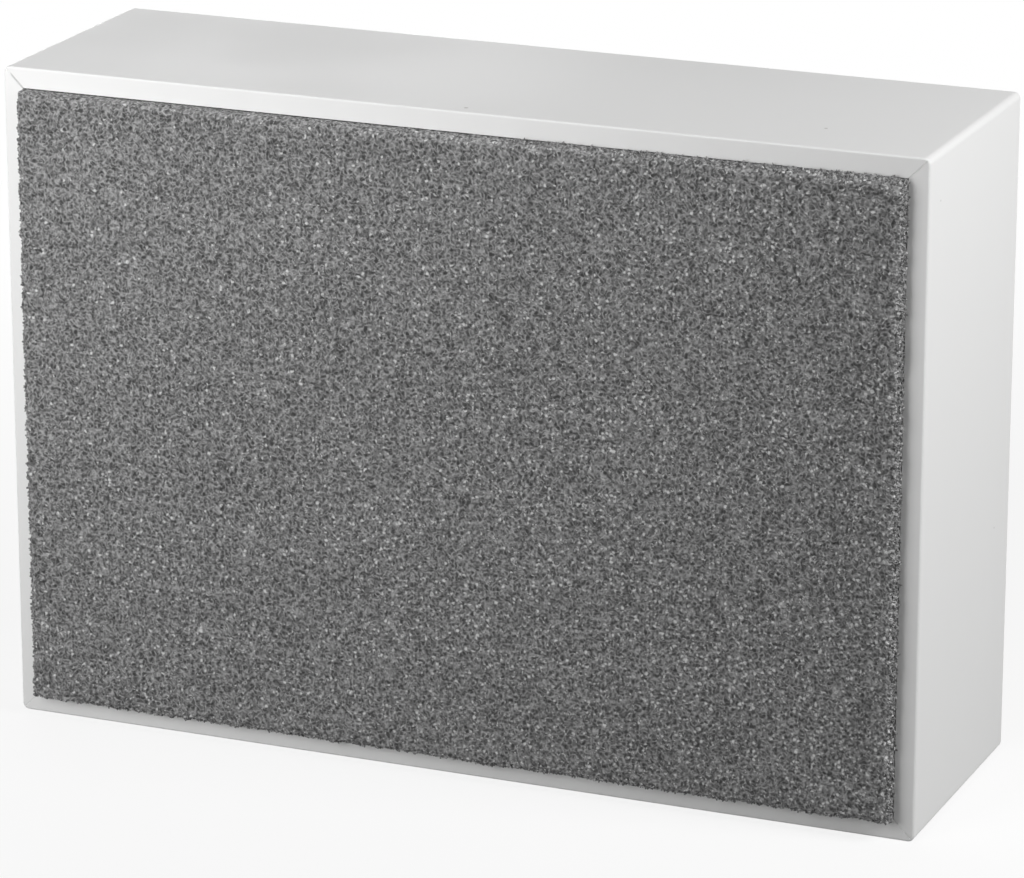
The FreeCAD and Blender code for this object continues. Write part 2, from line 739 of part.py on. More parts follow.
def tinsel_leads():
    """Limp leads from the tags through a window to the back of the cone."""
    slope = cone_depth / (cone_radius - neck_radius)
    end_radius = math.hypot(tinsel_reach, tag_spacing / 2)
    cone_back = seat_level + (cone_radius - end_radius) * slope + cone_sheet * math.hypot(1, slope)
    start_level = tag_level + tinsel_height
    bend_z = (tag_z + tinsel_reach) / 2
    leads = []
    for x in tag_places:
        stops = [(tag_z - tag_sheet, start_level), (bend_z, start_level),
                 (tinsel_reach + tinsel_sag, start_level + tinsel_sag), (tinsel_reach, cone_back + tinsel_gap)]
        route = [point(x, baffle_rear_y + level, z) for z, level in stops]
        leads.append(tube(route, tinsel_radius, tinsel_reach))
    return Part.makeCompound(leads)


def transformer_core():
    """The laminated core, with a window each side of the middle leg."""
    core = block(core_width, core_height, core_stack, transformer_x, baffle_rear_y, transformer_z)
    window_offset = core_width / 2 - 1.5 * core_leg
    windows = [block(core_leg, core_height - 2 * core_leg, core_stack + 2 * over,
                     transformer_x + side * window_offset, baffle_rear_y + core_leg, transformer_z)
               for side in (-1, 1)]
    return core.cut(windows)


def around_leg(half_x, half_z, inner_x, inner_z, y, depth):
    """A square sleeve round the middle leg of the core."""
    outer = block(2 * half_x, depth, 2 * half_z, transformer_x, y, transformer_z)
    return outer.cut(block(2 * inner_x, depth + 2 * over, 2 * inner_z, transformer_x, y - over, transformer_z))


leg_half = core_width / 2 - 2 * core_leg
sleeve_inner_x = leg_half + bobbin_gap
sleeve_inner_z = core_stack / 2 + bobbin_gap
sleeve_outer_x = sleeve_inner_x + bobbin_wall
sleeve_outer_z = sleeve_inner_z + bobbin_wall
flange_half_x = leg_half + core_leg - bobbin_gap
bobbin_near_y = baffle_rear_y + core_leg + bobbin_gap


def transformer_bobbin():
    """The moulded former of the winding, with a flange at each end."""
    length = bobbin_far_y - bobbin_near_y
    sleeve = around_leg(sleeve_outer_x, sleeve_outer_z, sleeve_inner_x, sleeve_inner_z, bobbin_near_y, length)
    flanges = [around_leg(flange_half_x, bobbin_reach, sleeve_inner_x, sleeve_inner_z, y, bobbin_flange)
               for y in (bobbin_near_y, bobbin_far_y - bobbin_flange)]
    return sleeve.fuse(flanges).removeSplitter().cut(transformer_pins())


def transformer_winding():
    """The wound and taped coil."""
    half_x = flange_half_x - winding_setback / 2
    half_z = bobbin_reach - winding_setback
    y = bobbin_near_y + bobbin_flange
    depth = bobbin_far_y - bobbin_near_y - 2 * bobbin_flange
    coil = rounded_block(2 * half_x, depth, 2 * half_z, transformer_x, y, transformer_z, 4 * winding_setback)
    return coil.cut(block(2 * sleeve_outer_x, depth + 2 * over, 2 * sleeve_outer_z,
                          transformer_x, y - over, transformer_z))


def transformer_pins():
    """Pins in the far flange: the line side points down and the speaker side up."""
    length = pin_length + pin_root
    pins = [upright_rod(pin_radius, length, x, pin_y, line_pin_z) for x in line_pins]
    pins += [upright_rod(pin_radius, length, x, pin_y, speaker_pin_z - length) for x in speaker_pins]
    return Part.makeCompound(pins)


def transformer_bracket():
    """The folded strap over the core, with two screwed feet."""
    inner = core_width / 2 + bracket_gap
    outer = inner + bracket_sheet
    top = core_height + bracket_gap
    outline = [(-outer - bracket_foot, 0), (-inner, 0), (-inner, top), (inner, top), (inner, 0),
               (outer + bracket_foot, 0), (outer + bracket_foot, bracket_sheet), (outer, bracket_sheet),
               (outer, top + bracket_sheet), (-outer, top + bracket_sheet), (-outer, bracket_sheet),
               (-outer - bracket_foot, bracket_sheet)]
    corners = [point(transformer_x + x, baffle_rear_y + y, transformer_z - bracket_width / 2) for x, y in outline]
    strap = Part.Face(Part.makePolygon(corners + corners[:1])).extrude(point(0, 0, bracket_width))
    return strap.cut([rod(transformer_screw_shank + through_gap, bracket_sheet + 2 * over, x, baffle_rear_y - over, z)
                      for x, z in transformer_screw_places])


def line_wires():
    """Wires from the terminals, through the floor of the cup, to the transformer's line pins."""
    start_z = strip_z + clamp_length / 2 - line_wire_tuck
    wires = []
    for pole_x, pin_x in zip(poles, line_pins):
        route = [point(pole_x, clamp_y, start_z), point(pole_x, clamp_y, line_hole_z),
                 point(pole_x, pin_y, line_hole_z), point(pin_x, pin_y, line_hole_z),
                 point(pin_x, pin_y, line_pin_z)]
        wires.append(tube(route, wire_radius, wire_bend))
    return Part.makeCompound(wires)


def speaker_wires():
    """Wires from the transformer's speaker pins over to the driver's tags."""
    wires = []
    for k, (pin_x, tag_x) in enumerate(zip(speaker_pins, tag_places)):
        run_z = speaker_pin_z + speaker_wire_rise + k * speaker_wire_step
        route = [point(pin_x, pin_y, speaker_pin_z), point(pin_x, pin_y, run_z), point(tag_x, pin_y, run_z),
                 point(tag_x, pin_y, tag_z - tag_sheet / 2), point(tag_x, tag_tip_y, tag_z - tag_sheet / 2)]
        wires.append(tube(route, wire_radius, wire_bend))
    return Part.makeCompound(wires)


def build():
    """Every piece of the speaker by its name."""
    pieces = {}
    pieces.update(cabinet_walls())
    pieces.update(corner_blocks())
    pieces["baffle_board"] = baffle_board()
    pieces["foam_front"] = foam_front()
    pieces["rear_panel"] = rear_panel()
    pieces["rear_panel_screws"] = countersunk_group(panel_screw_head, panel_screw_shank, panel_screw_length,
                                                    panel_screw_places)
    for side, x in hanger_places.items():
        pieces["hanger_plate_" + side] = hanger_plate(x)
    pieces["hanger_screws"] = countersunk_group(hanger_screw_head, hanger_screw_shank, hanger_screw_length,
                                                hanger_screw_places)
    pieces["terminal_cup"] = terminal_cup()
    pieces["terminal_cup_screws"] = countersunk_group(cup_screw_head, cup_screw_shank, cup_screw_length,
                                                      cup_screw_places)
    pieces["terminal_strip"] = terminal_strip()
    pieces["terminal_clamps"] = terminal_clamps()
    pieces["terminal_screws"] = terminal_screws()
    pieces["driver_gasket"] = driver_gasket()
    pieces["driver_basket"] = driver_basket()
    pieces["driver_surround"] = driver_surround()
    pieces["driver_cone"] = driver_cone()
    pieces["driver_whizzer"] = driver_whizzer()
    pieces["driver_dust_cap"] = driver_dust_cap()
    pieces["coil_former"] = driver_turned(ring(coil_radius - former_wall, coil_radius, former_front, former_rear))
    pieces["coil_winding"] = driver_turned(ring(coil_radius, coil_radius + winding_build,
                                                gap_level - winding_length / 2, gap_level + winding_length / 2))
    pieces["driver_spider"] = driver_spider()
    pieces["magnet_top_plate"] = driver_turned(ring(plate_bore, top_plate_radius, plate_level, magnet_level))
    pieces["magnet_ring"] = driver_turned(ring(magnet_bore, magnet_radius, magnet_level, yoke_level))
    pieces["magnet_yoke"] = magnet_yoke()
    pieces["driver_tag_board"] = block(tag_board_length, tag_board_thickness, tag_board_width,
                                       driver_x, baffle_rear_y + tag_board_level, tag_board_z)
    pieces["driver_tags"] = driver_tags()
    pieces["tinsel_leads"] = tinsel_leads()
    pieces["driver_screws"] = pan_head_group(driver_screw_head, driver_screw_shank, driver_screw_length,
                                             flange_rear_y, driver_screw_places)
    pieces["transformer_core"] = transformer_core()
    pieces["transformer_bobbin"] = transformer_bobbin()
    pieces["transformer_winding"] = transformer_winding()
    pieces["transformer_pins"] = transformer_pins()
    pieces["transformer_bracket"] = transformer_bracket()
    pieces["transformer_screws"] = pan_head_group(transformer_screw_head, transformer_screw_shank,
                                                  transformer_screw_length, baffle_rear_y + bracket_sheet,
                                                  transformer_screw_places)
    pieces["line_wires"] = line_wires()
    pieces["speaker_wires"] = speaker_wires()
    return pieces


os.makedirs("parts", exist_ok=True)
for node, shape in build().items():
    if not shape.isValid():
        raise ValueError("the shape of %s is not valid" % node)
    shape.exportStep("parts/%s.step" % node)
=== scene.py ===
"""The looks of a wall speaker: a white foil cabinet, its open-cell foam front and the works inside."""

import logging
import math
import random
from dataclasses import dataclass
from enum import Enum
from functools import cache
from typing import Any

import bpy
import numpy as np
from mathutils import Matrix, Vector


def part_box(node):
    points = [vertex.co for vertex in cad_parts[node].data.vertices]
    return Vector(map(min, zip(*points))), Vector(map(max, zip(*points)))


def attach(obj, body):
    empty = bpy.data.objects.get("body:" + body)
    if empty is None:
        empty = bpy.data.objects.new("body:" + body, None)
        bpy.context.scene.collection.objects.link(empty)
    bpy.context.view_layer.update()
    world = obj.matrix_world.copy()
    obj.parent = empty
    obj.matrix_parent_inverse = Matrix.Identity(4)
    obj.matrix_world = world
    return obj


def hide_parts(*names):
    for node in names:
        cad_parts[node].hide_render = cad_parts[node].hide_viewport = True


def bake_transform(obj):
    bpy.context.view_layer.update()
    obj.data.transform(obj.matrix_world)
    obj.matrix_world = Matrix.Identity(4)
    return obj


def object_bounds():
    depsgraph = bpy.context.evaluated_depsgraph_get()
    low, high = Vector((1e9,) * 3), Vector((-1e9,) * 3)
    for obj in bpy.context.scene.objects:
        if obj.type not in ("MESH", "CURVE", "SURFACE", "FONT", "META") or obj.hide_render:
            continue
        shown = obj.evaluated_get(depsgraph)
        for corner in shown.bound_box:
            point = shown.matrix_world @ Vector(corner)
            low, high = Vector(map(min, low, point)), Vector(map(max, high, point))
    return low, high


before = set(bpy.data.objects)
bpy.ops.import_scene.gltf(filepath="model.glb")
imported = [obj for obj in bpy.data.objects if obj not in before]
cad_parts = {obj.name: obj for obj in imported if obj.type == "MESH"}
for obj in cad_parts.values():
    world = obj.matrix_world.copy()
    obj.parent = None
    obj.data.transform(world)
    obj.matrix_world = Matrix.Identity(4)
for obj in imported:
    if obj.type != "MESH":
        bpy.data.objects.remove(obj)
CAD_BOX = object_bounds()

MM = 0.001
LOG = logging.getLogger("wall_speaker")
OPEN_SIDE = "open_side"
CUT_EDGE = "cut_edge"
Socket = bpy.types.NodeSocket
Tree = bpy.types.NodeTree
Piece = bpy.types.Object
Colour = tuple[float, float, float]
WHITE: Colour = (1.0, 1.0, 1.0)


def shade(colour: Colour, factor: float) -> Colour:
    """Give the colour made lighter or darker by a factor."""
    return tuple(min(1.0, part * factor) for part in colour)


class Graph:
    """A node tree under construction, with one short call for each kind of node."""

    def __init__(self, tree: Tree) -> None:
        """Take an empty tree, or empty the one that is given."""
        self.tree = tree
        tree.nodes.clear()

    def add(self, kind: str, inputs: dict | None = None, **settings: Any) -> bpy.types.Node:
        """Add a node, set it up and feed its sockets.

        Args:
            kind: Blender's name of the node's type.
            inputs: socket name or number to a constant or to the socket that feeds it.
            settings: the node's own properties.

        Returns:
            The new node.
        """
        node = self.tree.nodes.new(kind)
        for name, value in settings.items():
            setattr(node, name, value)
        for name, value in (inputs or {}).items():
            self.feed(node.inputs[name], value)
        return node

    def feed(self, socket: Socket, value: Any) -> None:
        """Link a socket to another one, or set its constant.

        Args:
            socket: the socket that receives.
            value: a socket, a number, a vector or a colour of three parts.
        """
        if isinstance(value, Socket):
            self.tree.links.new(value, socket)
        elif socket.type == "RGBA" and len(value) == 3:
            socket.default_value = (*value, 1.0)
        else:
            socket.default_value = value

    def place(self) -> Socket:
        """Give the object coordinates, which are metres in the part's own frame."""
        return self.add("ShaderNodeTexCoord").outputs["Object"]

    def moved(self, vector: Socket, **mapping: tuple) -> Socket:
        """Give coordinates that a Mapping node has shifted by a Location or scaled by a Scale."""
        return self.add("ShaderNodeMapping", {"Vector": vector, **mapping}).outputs["Vector"]

    def axes(self, vector: Socket) -> Any:
        """Give the sockets X, Y and Z of a vector."""
        return self.add("ShaderNodeSeparateXYZ", {0: vector}).outputs

    def attribute(self, name: str) -> Socket:
        """Give the value of one of the mesh's attributes."""
        return self.add("ShaderNodeAttribute", attribute_name=name).outputs["Fac"]

    def seen(self) -> Socket:
        """Tell the rays that show something from those that light something.

        Returns:
            1 for what the camera sees, straight or in a mirror or through glass, and 0 for the rest.
        """
        path = self.add("ShaderNodeLightPath").outputs
        straight = self.math("MAXIMUM", path["Is Camera Ray"], path["Is Glossy Ray"])
        return self.math("MAXIMUM", straight, path["Is Transmission Ray"])

    def noise(self, vector: Any, scale: Any, detail: float = 3.0, rough: float = 0.55) -> Socket:
        """Give a soft noise from 0 to 1: scale is its waves per metre, detail and rough its finer octaves."""
        sockets = {"Vector": vector, "Scale": scale, "Detail": detail, "Roughness": rough}
        return self.add("ShaderNodeTexNoise", sockets).outputs["Fac"]

    def level(self, value: Any, low: Any, high: Any, start: Any = 0.0, end: Any = 1.0, **way: str) -> Socket:
        """Map a value in a straight line from low..high to start..end, held at both ends."""
        sockets = {"Value": value, "From Min": low, "From Max": high, "To Min": start, "To Max": end}
        return self.add("ShaderNodeMapRange", sockets, **way).outputs["Result"]

    def span(self, value: Any, low: Any, high: Any, start: Any = 0.0, end: Any = 1.0) -> Socket:
        """Map a value as level does, but smoothly at both ends."""
        return self.level(value, low, high, start, end, interpolation_type="SMOOTHSTEP")

    def math(self, operation: str, first: Any, second: Any = 0.0) -> Socket:
        """Give the result of a Math node on two values."""
        return self.add("ShaderNodeMath", {0: first, 1: second}, operation=operation).outputs[0]

    def vectors(self, operation: str, first: Any, second: Any = (0.0, 0.0, 0.0)) -> Any:
        """Give the sockets that come out of a Vector Math node on two vectors."""
        return self.add("ShaderNodeVectorMath", {0: first, 1: second}, operation=operation).outputs

    def scaled(self, value: Any, factor: Any) -> Socket:
        """Give the product of a value and a factor."""
        return self.math("MULTIPLY", value, factor)

    def blend(self, share: Any, first: Any, second: Any) -> Socket:
        """Mix two colours by the share of the second one."""
        return self.add("ShaderNodeMix", {0: share, 6: first, 7: second}, data_type="RGBA").outputs[2]

    def bump(self, height: Any, depth: float, strength: float) -> Socket:
        """Give a normal bent by a height field, whose 1 stands a depth in metres above its 0."""
        sockets = {"Height": height, "Distance": depth, "Strength": strength}
        return self.add("ShaderNodeBump", sockets).outputs["Normal"]

    def effect(self, tree: Tree, inputs: dict) -> Any:
        """Place a shared effect's group in this tree and give the sockets that come out of it."""
        return self.add("ShaderNodeGroup", inputs, node_tree=tree).outputs


def new_group(name: str, inputs: dict[str, str], outputs: dict[str, str]) -> tuple[Graph, Any, Any]:
    """Start a shader node group.

    Args:
        name: the group's name.
        inputs: socket name to socket type, without the common prefix.
        outputs: the same for what comes out.

    Returns:
        The group's graph, its input node's sockets and its output node's sockets.
    """
    tree = bpy.data.node_groups.new(name, "ShaderNodeTree")
    for way, sockets in (("INPUT", inputs), ("OUTPUT", outputs)):
        for label, kind in sockets.items():
            tree.interface.new_socket(label, in_out=way, socket_type="NodeSocket" + kind)
    graph = Graph(tree)
    entry = graph.add("NodeGroupInput")
    leave = graph.add("NodeGroupOutput")
    return graph, entry.outputs, leave.inputs


@cache
def mottle_group() -> Tree:
    """Drift between two close colours, as any made surface does.

    Returns:
        The group of nodes.
    """
    graph, given, out = new_group(
        "mottle",
        {"Vector": "Vector", "Scale": "Float", "Low": "Color", "High": "Color", "Spread": "Float"},
        {"Colour": "Color", "Value": "Float"},
    )
    field = graph.noise(given["Vector"], given["Scale"], detail=4.0)
    low = graph.math("SUBTRACT", 0.5, given["Spread"])
    high = graph.math("ADD", 0.5, given["Spread"])
    share = graph.span(field, low, high)
    graph.feed(out["Colour"], graph.blend(share, given["Low"], given["High"]))
    graph.feed(out["Value"], share)
    return graph.tree


@cache
def specks_group() -> Tree:
    """Scatter small round specks of uneven size over a surface, one in a share of the cells.

    Returns:
        The group of nodes.
    """
    graph, given, out = new_group(
        "specks",
        {"Vector": "Vector", "Scale": "Float", "Share": "Float", "Radius": "Float"},
        {"Mask": "Float"},
    )
    cells = graph.add("ShaderNodeTexVoronoi", {"Vector": given["Vector"], "Scale": given["Scale"]}).outputs
    draw = graph.add("ShaderNodeSeparateColor", {0: cells["Color"]}).outputs
    carries = graph.math("LESS_THAN", draw[0], given["Share"])
    radius = graph.scaled(given["Radius"], graph.span(draw[1], 0.0, 1.0, start=0.4))
    spot = graph.span(cells["Distance"], graph.scaled(radius, 0.5), radius, 1.0, 0.0)
    graph.feed(out["Mask"], graph.scaled(spot, carries))
    return graph.tree


@cache
def grain_group() -> Tree:
    """Draw streaks out along a surface, for fibres, rolled metal and ground faces.

    Returns:
        The group of nodes.
    """
    graph, given, out = new_group(
        "grain",
        {"Vector": "Vector", "Scale": "Float", "Stretch": "Vector"},
        {"Coarse": "Float", "Fine": "Float"},
    )
    drawn = graph.vectors("MULTIPLY", given["Vector"], given["Stretch"])[0]
    coarse = graph.noise(drawn, given["Scale"], detail=3.0, rough=0.6)
    fine = graph.noise(drawn, graph.scaled(given["Scale"], 5.0), detail=2.0)
    graph.feed(out["Coarse"], graph.span(coarse, 0.3, 0.7))
    graph.feed(out["Fine"], graph.span(fine, 0.3, 0.7))
    return graph.tree


@cache
def weave_group() -> Tree:
    """Cross the threads of a woven cloth, as a height.

    Returns:
        The group of nodes.
    """
    graph, given, out = new_group("weave", {"Vector": "Vector", "Threads": "Float"}, {"Height": "Float"})
    axes = graph.axes(given["Vector"])
    turns = graph.scaled(given["Threads"], math.pi)
    waves = [graph.math("SINE", graph.scaled(axes[way], turns)) for way in ("X", "Z")]
    graph.feed(out["Height"], graph.math("MAXIMUM", *[graph.math("ABSOLUTE", wave) for wave in waves]))
    return graph.tree


@dataclass(frozen=True)
class Finish:
    """What every finish has: a name, a main colour and a mean roughness."""

    name: str
    colour: Colour
    roughness: float

    def material(self) -> bpy.types.Material:
        """Make the finish as a material.

        Returns:
            The new material.
        """
        made = bpy.data.materials.new(self.name)
        made.use_nodes = True
        graph = Graph(made.node_tree)
        surface = graph.add("ShaderNodeBsdfPrincipled")
        graph.add("ShaderNodeOutputMaterial", {"Surface": surface.outputs[0]})
        self.wire(graph, surface.inputs)
        return made

    def wire(self, graph: Graph, surface: Any) -> None:
        """Feed the surface's sockets; each finish has its own way."""
        raise NotImplementedError

    def varied_roughness(self, graph: Graph, value: Any, swing: float) -> Socket:
        """Give the mean roughness, swung up and down by a value from 0 to 1."""
        return graph.span(value, 0.0, 1.0, self.roughness - swing, self.roughness + swing)

    def drift(self, graph: Graph, place: Socket, scale: float, dark: float, spread: float) -> Any:
        """Drift between the main colour and a darker shade of it, in patches of scale to the metre."""
        colours = {"Low": shade(self.colour, dark), "High": self.colour}
        return graph.effect(mottle_group(), {"Vector": place, "Scale": scale, "Spread": spread, **colours})


@dataclass(frozen=True)
class FoilFinish(Finish):
    """White foil pressed on board: almost even, with a fine print of the board and a few dust specks."""

    dust: Colour = (0.34, 0.33, 0.31)
    dust_radius: float = 0.045
    dust_strength: float = 0.6
    board_print: float = 0.03 * MM
    specular: float = 0.25
    mitre: Colour = (0.28, 0.28, 0.275)
    mitre_width: float = 0.6 * MM
    mitre_fade: tuple = (-2.6 * MM, -1.4 * MM)
    mitre_depth: tuple = (0.2 * MM, 0.7 * MM)
    opened_above: float = 0.5
    opened_right: float = 0.3
    corner: tuple = (CAD_BOX[1].x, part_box("wall_top")[0].y, CAD_BOX[1].z)

    def wire(self, graph: Graph, surface: Any) -> None:
        """Drift the white a little, scatter the dust and print the board through the foil.

        Args:
            graph: the material's graph.
            surface: its shader's sockets.
        """
        place = graph.place()
        drift = self.drift(graph, place, scale=14.0, dark=0.975, spread=0.3)
        specks = {"Vector": place, "Scale": 55.0, "Share": 0.9, "Radius": self.dust_radius}
        dusty = graph.scaled(graph.effect(specks_group(), specks)["Mask"], self.dust_strength)
        white = graph.blend(dusty, drift["Colour"], self.dust)
        graph.feed(surface["Base Color"], graph.blend(self.seams(graph, place), white, self.mitre))
        graph.feed(surface["Roughness"], self.varied_roughness(graph, drift["Value"], swing=0.05))
        fine = graph.noise(place, scale=1400.0, detail=2.0)
        graph.feed(surface["Normal"], graph.bump(fine, self.board_print, strength=0.25))
        graph.feed(surface["Specular IOR Level"], self.specular)

    def seams(self, graph: Graph, place: Socket) -> Socket:
        """Draw the mitres on the front: soft lines, strongest at the upper left where the joint has opened.

        Args:
            graph: the material's graph.
            place: the coordinates.

        Returns:
            The share of the mitre's grey.
        """
        axes = graph.axes(place)
        across = graph.math("SUBTRACT", graph.math("ABSOLUTE", axes["X"]), self.corner[0])
        upward = graph.math("SUBTRACT", graph.math("ABSOLUTE", axes["Z"]), self.corner[2])
        off = graph.math("ABSOLUTE", graph.math("SUBTRACT", across, upward))
        line = graph.span(off, self.mitre_width / 5, self.mitre_width, 1.0, 0.0)
        line = graph.scaled(line, graph.span(across, *self.mitre_fade, 1.0, 0.0))
        behind = [self.corner[1] + depth for depth in self.mitre_depth]
        front = graph.span(axes["Y"], *behind, 1.0, 0.0)
        high = graph.level(axes["Z"], -self.corner[2], self.corner[2], 0.0, self.opened_above)
        leftward = graph.level(axes["X"], -self.corner[0], self.corner[0], 1.0, self.opened_right)
        return graph.scaled(graph.scaled(line, front), graph.scaled(high, leftward))


@dataclass(frozen=True)
class FoamFinish(Finish):
    """Open-cell foam: a front net of struts and a dimmer one behind it, with the shade of the open cells
    painted into the pores and the deeper net, and highlights painted on the front one as glints.
    """

    # The pore colour is the shade inside the open cells, painted in.
    pore: Colour = (0.036, 0.036, 0.036)
    # The fields below set the glints: painted highlights on the struts, in the base colour.
    painted_glint: Colour = (0.75, 0.75, 0.75)
    painted_glint_share: tuple = (0.0, 1.0)
    painted_glint_span: tuple = (0.25, 0.6)
    painted_glint_strength: tuple = (0.05, 0.8)
    painted_glint_slant: tuple = (-0.2, 0.2)
    waves_per_metre: float = 920.0
    flecks_per_metre: float = 1020.0
    bends: float = 900.0
    bend: float = 0.9 * MM
    strut_width: float = 0.24
    front_light: float = 0.26
    behind_light: float = 0.24
    behind_scale: float = 0.9
    behind_shift: tuple = (0.31, 0.17, 0.53)
    fleck_span: tuple = (0.2, 0.8)
    fleck_light: tuple = (0.1, 0.355)
    # Painted shade: how much darker a vertex is painted for sinking deep into a pore.
    painted_pore_shade: float = 0.03
    # Painted light: how much lighter the thin cut edges and sides are painted.
    painted_edge_light: float = 0.08
    contrast: float = 2.0
    relief: float = 0.3 * MM
    specular: float = 0.3
    depth: str = "pore_depth"
    edge: str = "thin_edge"

    def wire(self, graph: Graph, surface: Any) -> None:
        """Lay the two nets over each other, paint shade into the deep pores, paint light onto the thin cut
        edges and paint highlights (glints) on the struts.

        Args:
            graph: the material's graph.
            surface: its shader's sockets.
        """
        place = graph.place()
        bent = self.waver(graph, place)
        front = self.net(graph, bent, self.waves_per_metre)
        # The net behind is dimmer: painted shade deeper in the foam.
        further = graph.moved(bent, Location=self.behind_shift)
        behind = self.net(graph, further, self.waves_per_metre * self.behind_scale)
        fleck = graph.noise(place, self.flecks_per_metre, detail=0.0)
        lit = graph.scaled(front, self.front_light)
        lit = graph.math("ADD", lit, graph.scaled(behind, self.behind_light))
        lit = graph.math("ADD", lit, graph.level(fleck, *self.fleck_span, *self.fleck_light))
        # Painted shade: darker where the surface sank deep into a pore.
        lit = graph.math("SUBTRACT", lit, graph.scaled(graph.attribute(self.depth), self.painted_pore_shade))
        # Painted light: lighter on the thin rounded cut edges and sides.
        lit = graph.math("ADD", lit, graph.scaled(graph.attribute(self.edge), self.painted_edge_light))
        share = graph.math("POWER", graph.math("MAXIMUM", lit, 0.0), self.contrast)
        # The pores take the dark pore colour, painted as the shade of the open cells.
        body = graph.blend(share, self.pore, self.colour)
        # Painted highlights: bright glints in the base colour, more towards the lower right and stronger on
        # the brighter struts.
        spots = {"Vector": bent, "Scale": 860.0, "Share": self.ends(graph, place), "Radius": 0.5}
        glint_spots = graph.effect(specks_group(), spots)["Mask"]
        painted_glints = graph.scaled(glint_spots, graph.level(lit, *self.painted_glint_span, *self.painted_glint_strength))
        graph.feed(surface["Base Color"], graph.blend(painted_glints, body, self.painted_glint))
        graph.feed(surface["Roughness"], self.varied_roughness(graph, front, swing=-0.1))
        graph.feed(surface["Normal"], graph.bump(fleck, self.relief, strength=0.4))
        graph.feed(surface["Specular IOR Level"], self.specular)

    def waver(self, graph: Graph, place: Socket) -> Socket:
        """Bend the coordinates this way and that, so that no strut runs straight.

        Args:
            graph: the material's graph.
            place: the coordinates.

        Returns:
            The bent coordinates.
        """
        field = graph.add("ShaderNodeTexNoise", {"Vector": place, "Scale": self.bends, "Detail": 1.0})
        shift = graph.vectors("MULTIPLY", field.outputs["Color"], (self.bend,) * 3)
        return graph.vectors("ADD", place, shift[0])[0]

    def ends(self, graph: Graph, place: Socket) -> Socket:
        """Give the share of cells that carry painted highlights (glints): more of them towards the lower
        right.
        """
        axes = graph.axes(place)
        return graph.level(graph.math("SUBTRACT", axes["X"], axes["Z"]), *self.painted_glint_slant, *self.painted_glint_share)

    def net(self, graph: Graph, vector: Socket, scale: float) -> Socket:
        """Give a net of winding struts, where a noise crosses its middle: 1 on a strut, 0 in the pore."""
        off = graph.math("SUBTRACT", graph.noise(vector, scale, detail=0.0), 0.5)
        return graph.span(graph.math("ABSOLUTE", off), 0.0, self.strut_width, 1.0, 0.0)


@dataclass(frozen=True)
class BoardFinish(Finish):
    """Fibreboard: short fibres lying every way, darker flecks and a dusty sawn look."""

    fleck: Colour = (0.2, 0.14, 0.08)
    fleck_strength: float = 0.55
    fibre_shade: float = 0.62
    fibre_strength: float = 0.3
    relief: float = 0.08 * MM
    stretch: tuple = (1.0, 1.0, 0.35)

    def wire(self, graph: Graph, surface: Any) -> None:
        """Lay fibres over a slow drift, and scatter flecks between them.

        Args:
            graph: the material's graph.
            surface: its shader's sockets.
        """
        place = graph.place()
        fibres = graph.effect(grain_group(), {"Vector": place, "Scale": 420.0, "Stretch": self.stretch})
        drift = self.drift(graph, place, scale=26.0, dark=0.86, spread=0.28)
        share = graph.scaled(fibres["Coarse"], self.fibre_strength)
        laid = graph.blend(share, drift["Colour"], shade(self.colour, self.fibre_shade))
        spots = {"Vector": place, "Scale": 300.0, "Share": 0.25, "Radius": 0.28}
        flecks = graph.scaled(graph.effect(specks_group(), spots)["Mask"], self.fleck_strength)
        graph.feed(surface["Base Color"], graph.blend(flecks, laid, self.fleck))
        graph.feed(surface["Roughness"], self.varied_roughness(graph, fibres["Fine"], swing=0.06))
        graph.feed(surface["Normal"], graph.bump(fibres["Fine"], self.relief, strength=0.5))


class Surface(Enum):
    """How a metal was worked: the stretch of its marks along X, Y and Z."""

    ROLLED = (1.0, 1.0, 0.06)
    PLATED = (1.0, 1.0, 1.0)
    TURNED = (0.3, 1.0, 0.3)


@dataclass(frozen=True)
class MetalFinish(Finish):
    """Bare or plated metal, with working marks, a cloudy plating and dulled patches."""

    worked: Surface = Surface.PLATED
    cloud: float = 0.8
    streak: float = 0.25
    score: float = 0.012 * MM

    def wire(self, graph: Graph, surface: Any) -> None:
        """Cloud the colour, streak the roughness and score the marks.

        Args:
            graph: the material's graph.
            surface: its shader's sockets.
        """
        place = graph.place()
        marks = graph.effect(grain_group(), {"Vector": place, "Scale": 700.0, "Stretch": self.worked.value})
        clouds = self.drift(graph, place, scale=130.0, dark=self.cloud, spread=0.2)
        streaked = graph.scaled(marks["Fine"], self.streak)
        dull = shade(self.colour, self.cloud)
        graph.feed(surface["Base Color"], graph.blend(streaked, clouds["Colour"], dull))
        graph.feed(surface["Metallic"], 1.0)
        graph.feed(surface["Roughness"], self.varied_roughness(graph, marks["Coarse"], swing=0.09))
        graph.feed(surface["Normal"], graph.bump(marks["Fine"], self.score, strength=0.6))


@dataclass(frozen=True)
class MouldedFinish(Finish):
    """Moulded plastic or resin board: a fine sparked texture with slightly polished rubbed spots."""

    texture: float = 0.04 * MM

    def wire(self, graph: Graph, surface: Any) -> None:
        """Texture the skin and let the colour and gloss drift.

        Args:
            graph: the material's graph.
            surface: its shader's sockets.
        """
        place = graph.place()
        drift = self.drift(graph, place, scale=90.0, dark=0.88, spread=0.25)
        spark = graph.noise(place, scale=2600.0, detail=2.0)
        graph.feed(surface["Base Color"], drift["Colour"])
        graph.feed(surface["Roughness"], self.varied_roughness(graph, drift["Value"], swing=0.07))
        graph.feed(surface["Normal"], graph.bump(spark, self.texture, strength=0.4))


